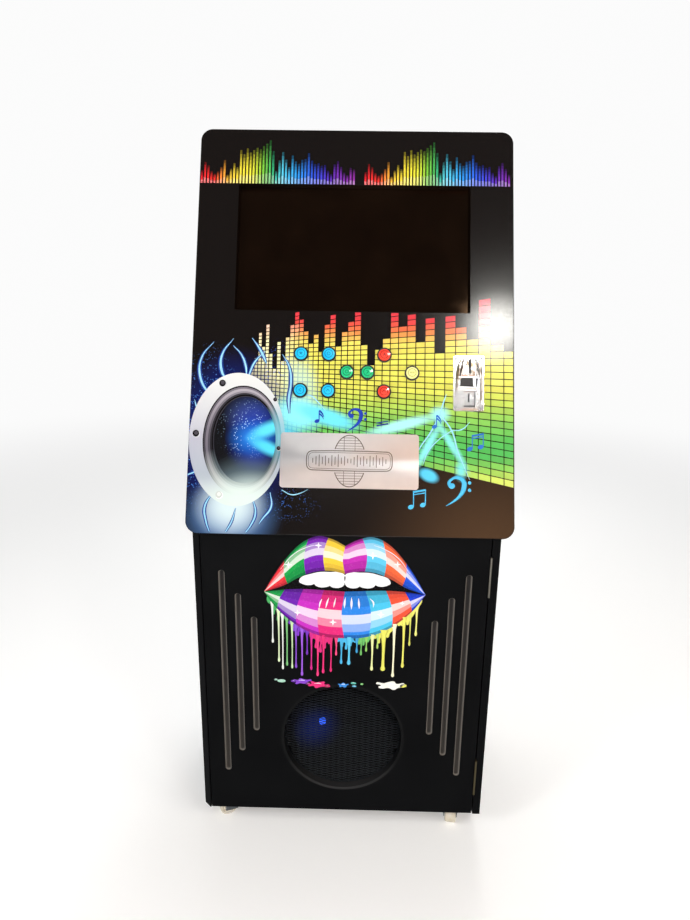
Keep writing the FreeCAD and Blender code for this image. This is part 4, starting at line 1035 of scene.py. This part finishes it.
# millimetres, as the other pieces; one cell of the sheet spans two staggered slits
grille = {"cellWide": 28.6, "cellTall": 7.0, "strand": 2.2, "radius": 149, "cells": 58}
low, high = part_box("speaker_grille")
clearSelection()
bpy.ops.mesh.primitive_grid_add(x_subdivisions=grille["cells"], y_subdivisions=grille["cells"],
                                size=grille["cells"] / 1000)
mesh = bpy.context.object
bpy.ops.object.mode_set(mode="EDIT")
bpy.ops.mesh.select_all(action="SELECT")
bpy.ops.transform.rotate(value=math.radians(45), orient_axis="Z", center_override=(0, 0, 0))
bpy.ops.transform.resize(value=(grille["cellWide"] / math.sqrt(2), grille["cellTall"] / math.sqrt(2), 1),
                         center_override=(0, 0, 0))
endEdit()
choose(mesh, "VERT", lambda vertex: vertex.co.length * 1000 > grille["radius"])
bpy.ops.mesh.delete(type="VERT")
endEdit()
wire = mesh.modifiers.new("strands", "WIREFRAME")
wire.thickness = grille["strand"] / 1000
wire.use_even_offset = False
bpy.ops.object.modifier_apply(modifier="strands")
faceOut = Matrix.Translation((low + high) / 2) @ Matrix.Rotation(math.radians(90), 4, "X")
settle(mesh, "expandedMetalGrille", "door", grilleSteel, faceOut)
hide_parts("speaker_grille")


print("stage: plate engraving and coin unit relief")

plate = {
    "cartouche": (94, 21, 12), "mic": (36, 57), "ribs": 5, "ribPitch": 6, "rails": (-12, 12), "wavePitch": 7,
    "wave": [5, 9, 13, 8, 11, 6, 12, 9, 14, 7, 10, 5],
}
toPanel = onPanel.inverted()


def facePlace(node):
    # the middle of a part across the board, and its highest point over it
    spots = [toPanel @ vertex.co for vertex in frame["nodes"][node].data.vertices]
    middle = [(min(spot[i] for spot in spots) + max(spot[i] for spot in spots)) / 2 for i in (0, 1)]
    return (*middle, max(spot.z for spot in spots))


def roundedRun(wide, tall, corner, half):
    # the outline of a plate with round ends, as one closed stroke
    run = []
    for turn, (x, y) in enumerate(((wide - corner, tall - corner), (corner - wide, tall - corner),
                                   (corner - wide, corner - tall), (wide - corner, corner - tall))):
        for n in range(4):
            angle = math.radians(90 * turn + 30 * n)
            run.append((x + corner * math.cos(angle), y + corner * math.sin(angle), half))
    return run + [run[0]]


wide, tall, corner = plate["cartouche"]
cuts = [roundedRun(wide, tall, corner, 1.0), roundedRun(wide - 4, tall - 4, corner - 3, 0.5)]
micWide, micTall = plate["mic"]
for side in (1, -1):
    cuts.append([(micWide * math.cos(math.radians(a)), side * micTall * math.sin(math.radians(a)), 1.0)
                 for a in range(27, 156, 9)])
    for n in range(plate["ribs"]):
        up = tall + (n + 1) * plate["ribPitch"]
        reach = micWide * math.sqrt(1 - (up / micTall) ** 2) - 1 if up < micTall else 0
        if reach > 4:
            cuts.append([(-reach, side * up, 0.5), (reach, side * up, 0.5)])
    for x in plate["rails"]:
        cuts.append([(x, side * (tall + 1), 0.5), (x, side * (micTall - 4), 0.5)])
for n, height in enumerate(plate["wave"] * 2):
    x = (n - len(plate["wave"]) + 0.5) * plate["wavePitch"]
    cuts.append([(x, -height, 0.8), (x, height, 0.8)])
engraving = drawStrokes(cuts, 0.0, steps=3, flatness=0.02)
# milled lines catch less light than the brushed sheet
milledSteel = makeFinish("milledStainlessLine", "#6E6965", metallic=1.0, rough=(0.45, 0.6), grain=3, bump=0.004)
across, up, top = facePlace("name_plate")
seat = onPanel @ Matrix.Translation((across, up, top + 0.00001))
settle(engraving, "plateEngraving", "cabinet", milledSteel, seat)

coin = {
    "slit": [(1, 53, 1.8), (1, 38, 1.8), (1, 20, 1.8)],
    "ribs": [
        [(-7, 57, 1.2), (-13.5, 38, 2.6), (-18, 16, 1.8), (-19, 6, 0.8)],
        [(-14, 58, 1.6), (-21, 38, 3.6), (-25, 12, 2.2), (-27, -24, 1.0)],
        [(9, 57, 1.2), (15.5, 38, 2.6), (20, 16, 1.8), (21, 6, 0.8)],
        [(17, 58, 1.6), (24, 38, 3.4), (27, 10, 2.4), (28, -46, 1.0)],
    ],
    # the wedges beside the slot; at the top their outer edge comes in by the lean
    "foot": 17, "top": 55, "middle": 7.4, "wide": 11, "high": 2.4, "lean": 7.5, "round": 1.1, "shift": 1.0,
}


def drawCheek(side):
    clearSelection()
    level = (coin["foot"] + coin["top"]) / 2
    bpy.ops.mesh.primitive_cube_add(size=1, location=millimetres(side * coin["middle"], level, coin["high"] / 2))
    cheek = bpy.context.object
    cheek.scale = millimetres(coin["wide"], coin["top"] - coin["foot"], coin["high"])
    bpy.ops.object.transform_apply(location=True, rotation=True, scale=True)
    choose(cheek, "VERT", lambda vertex: vertex.co.y * 1000 > level and abs(vertex.co.x) * 1000 > coin["middle"])
    bpy.ops.transform.translate(value=millimetres(-side * coin["lean"], 0, 0))
    endEdit()
    choose(cheek, "EDGE", lambda item: all(cheek.data.vertices[i].co.z * 2000 > coin["high"] for i in item.vertices))
    bpy.ops.mesh.bevel(offset=coin["round"] / 1000, segments=2, affect="EDGES")
    endEdit()
    cheek.location.x = coin["shift"] / 1000
    return cheek


# pressed flutes of the coin plate: chrome mottled at random with brown, a painted warm reflection
fluteChrome = makeFinish("warmFlutedChrome", "#F2EFEC", "#93826F", metallic=1.0, rough=(0.1, 0.2), grain=5,
                         bump=0.006, patch=16)
ribs = drawStrokes(coin["ribs"], 0.0, steps=8, flatness=0.5)
seat = onPanel @ Matrix.Translation(facePlace("coin_faceplate"))
settle(joinPieces([ribs, drawCheek(1), drawCheek(-1)]), "coinPlateRelief", "cabinet", fluteChrome, seat)
# painted shadow: a flat black stroke fills the coin slot, where the opening only lies in shade
settle(drawStrokes([coin["slit"]], 0.05, flatness=0.1), "coinSlotPaintedShade", "cabinet", mouldedAbs, seat)


print("stage: button marks")

marks = {
    "blue_one": "star", "blue_two": "ring", "blue_three": "left", "blue_four": "up", "green_one": "ring",
    "green_two": "right", "red_one": "star", "red_two": "up", "yellow_one": "bars",
}
capFace = {
    "ring": 8.6, "line": 0.55, "sunk": 0.06,
    "ink": {"blue": "#0A6FA8", "green": "#0B6B45", "red": "#8E140C", "yellow": "#A39A3C"},
}


def roundRun(radius, steps, half):
    angles = [math.radians(360 / steps * n) for n in range(steps + 1)]
    return [(math.cos(angle) * radius, math.sin(angle) * radius, half) for angle in angles]


signLines = {
    "star": [[(0, 0, 0.9), (4.2 * math.cos(math.radians(a)), 4.2 * math.sin(math.radians(a)), 0.4)]
             for a in range(90, 450, 72)],
    "left": [[(2.5, 3.6, 0.6), (-2.8, 0, 0.6)], [(-2.8, 0, 0.6), (2.5, -3.6, 0.6)]],
    "right": [[(-2.5, 3.6, 0.6), (2.8, 0, 0.6)], [(2.8, 0, 0.6), (-2.5, -3.6, 0.6)]],
    "up": [[(-3.6, -2.5, 0.6), (0, 2.8, 0.6)], [(0, 2.8, 0.6), (3.6, -2.5, 0.6)]],
    "bars": [[(x, -1.6, 0.5), (x, 1.8, 0.5)] for x in (-4, -2, 0, 2, 4)],
    "ring": [roundRun(3.4, 8, 0.5)],
}
for button, sign in marks.items():
    colour = button.split("_")[0]
    low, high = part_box("button_" + button)
    spot = toPanel @ ((low + high) / 2)
    # the cap's crown is the farthest point out from the board
    crown = facePlace("button_" + button)[2]
    lines = [roundRun(capFace["ring"], 12, capFace["line"])] + signLines[sign]
    mark = inkAll(drawStrokes(lines, 0.0, steps=3, flatness=0.1), capFace["ink"][colour])
    seat = onPanel @ Matrix.Translation((spot.x, spot.y, crown - capFace["sunk"] / 1000))
    settle(mark, "mark" + "".join(word.capitalize() for word in button.split("_")), "button_" + button,
           plainInk, seat)


clearSelection()
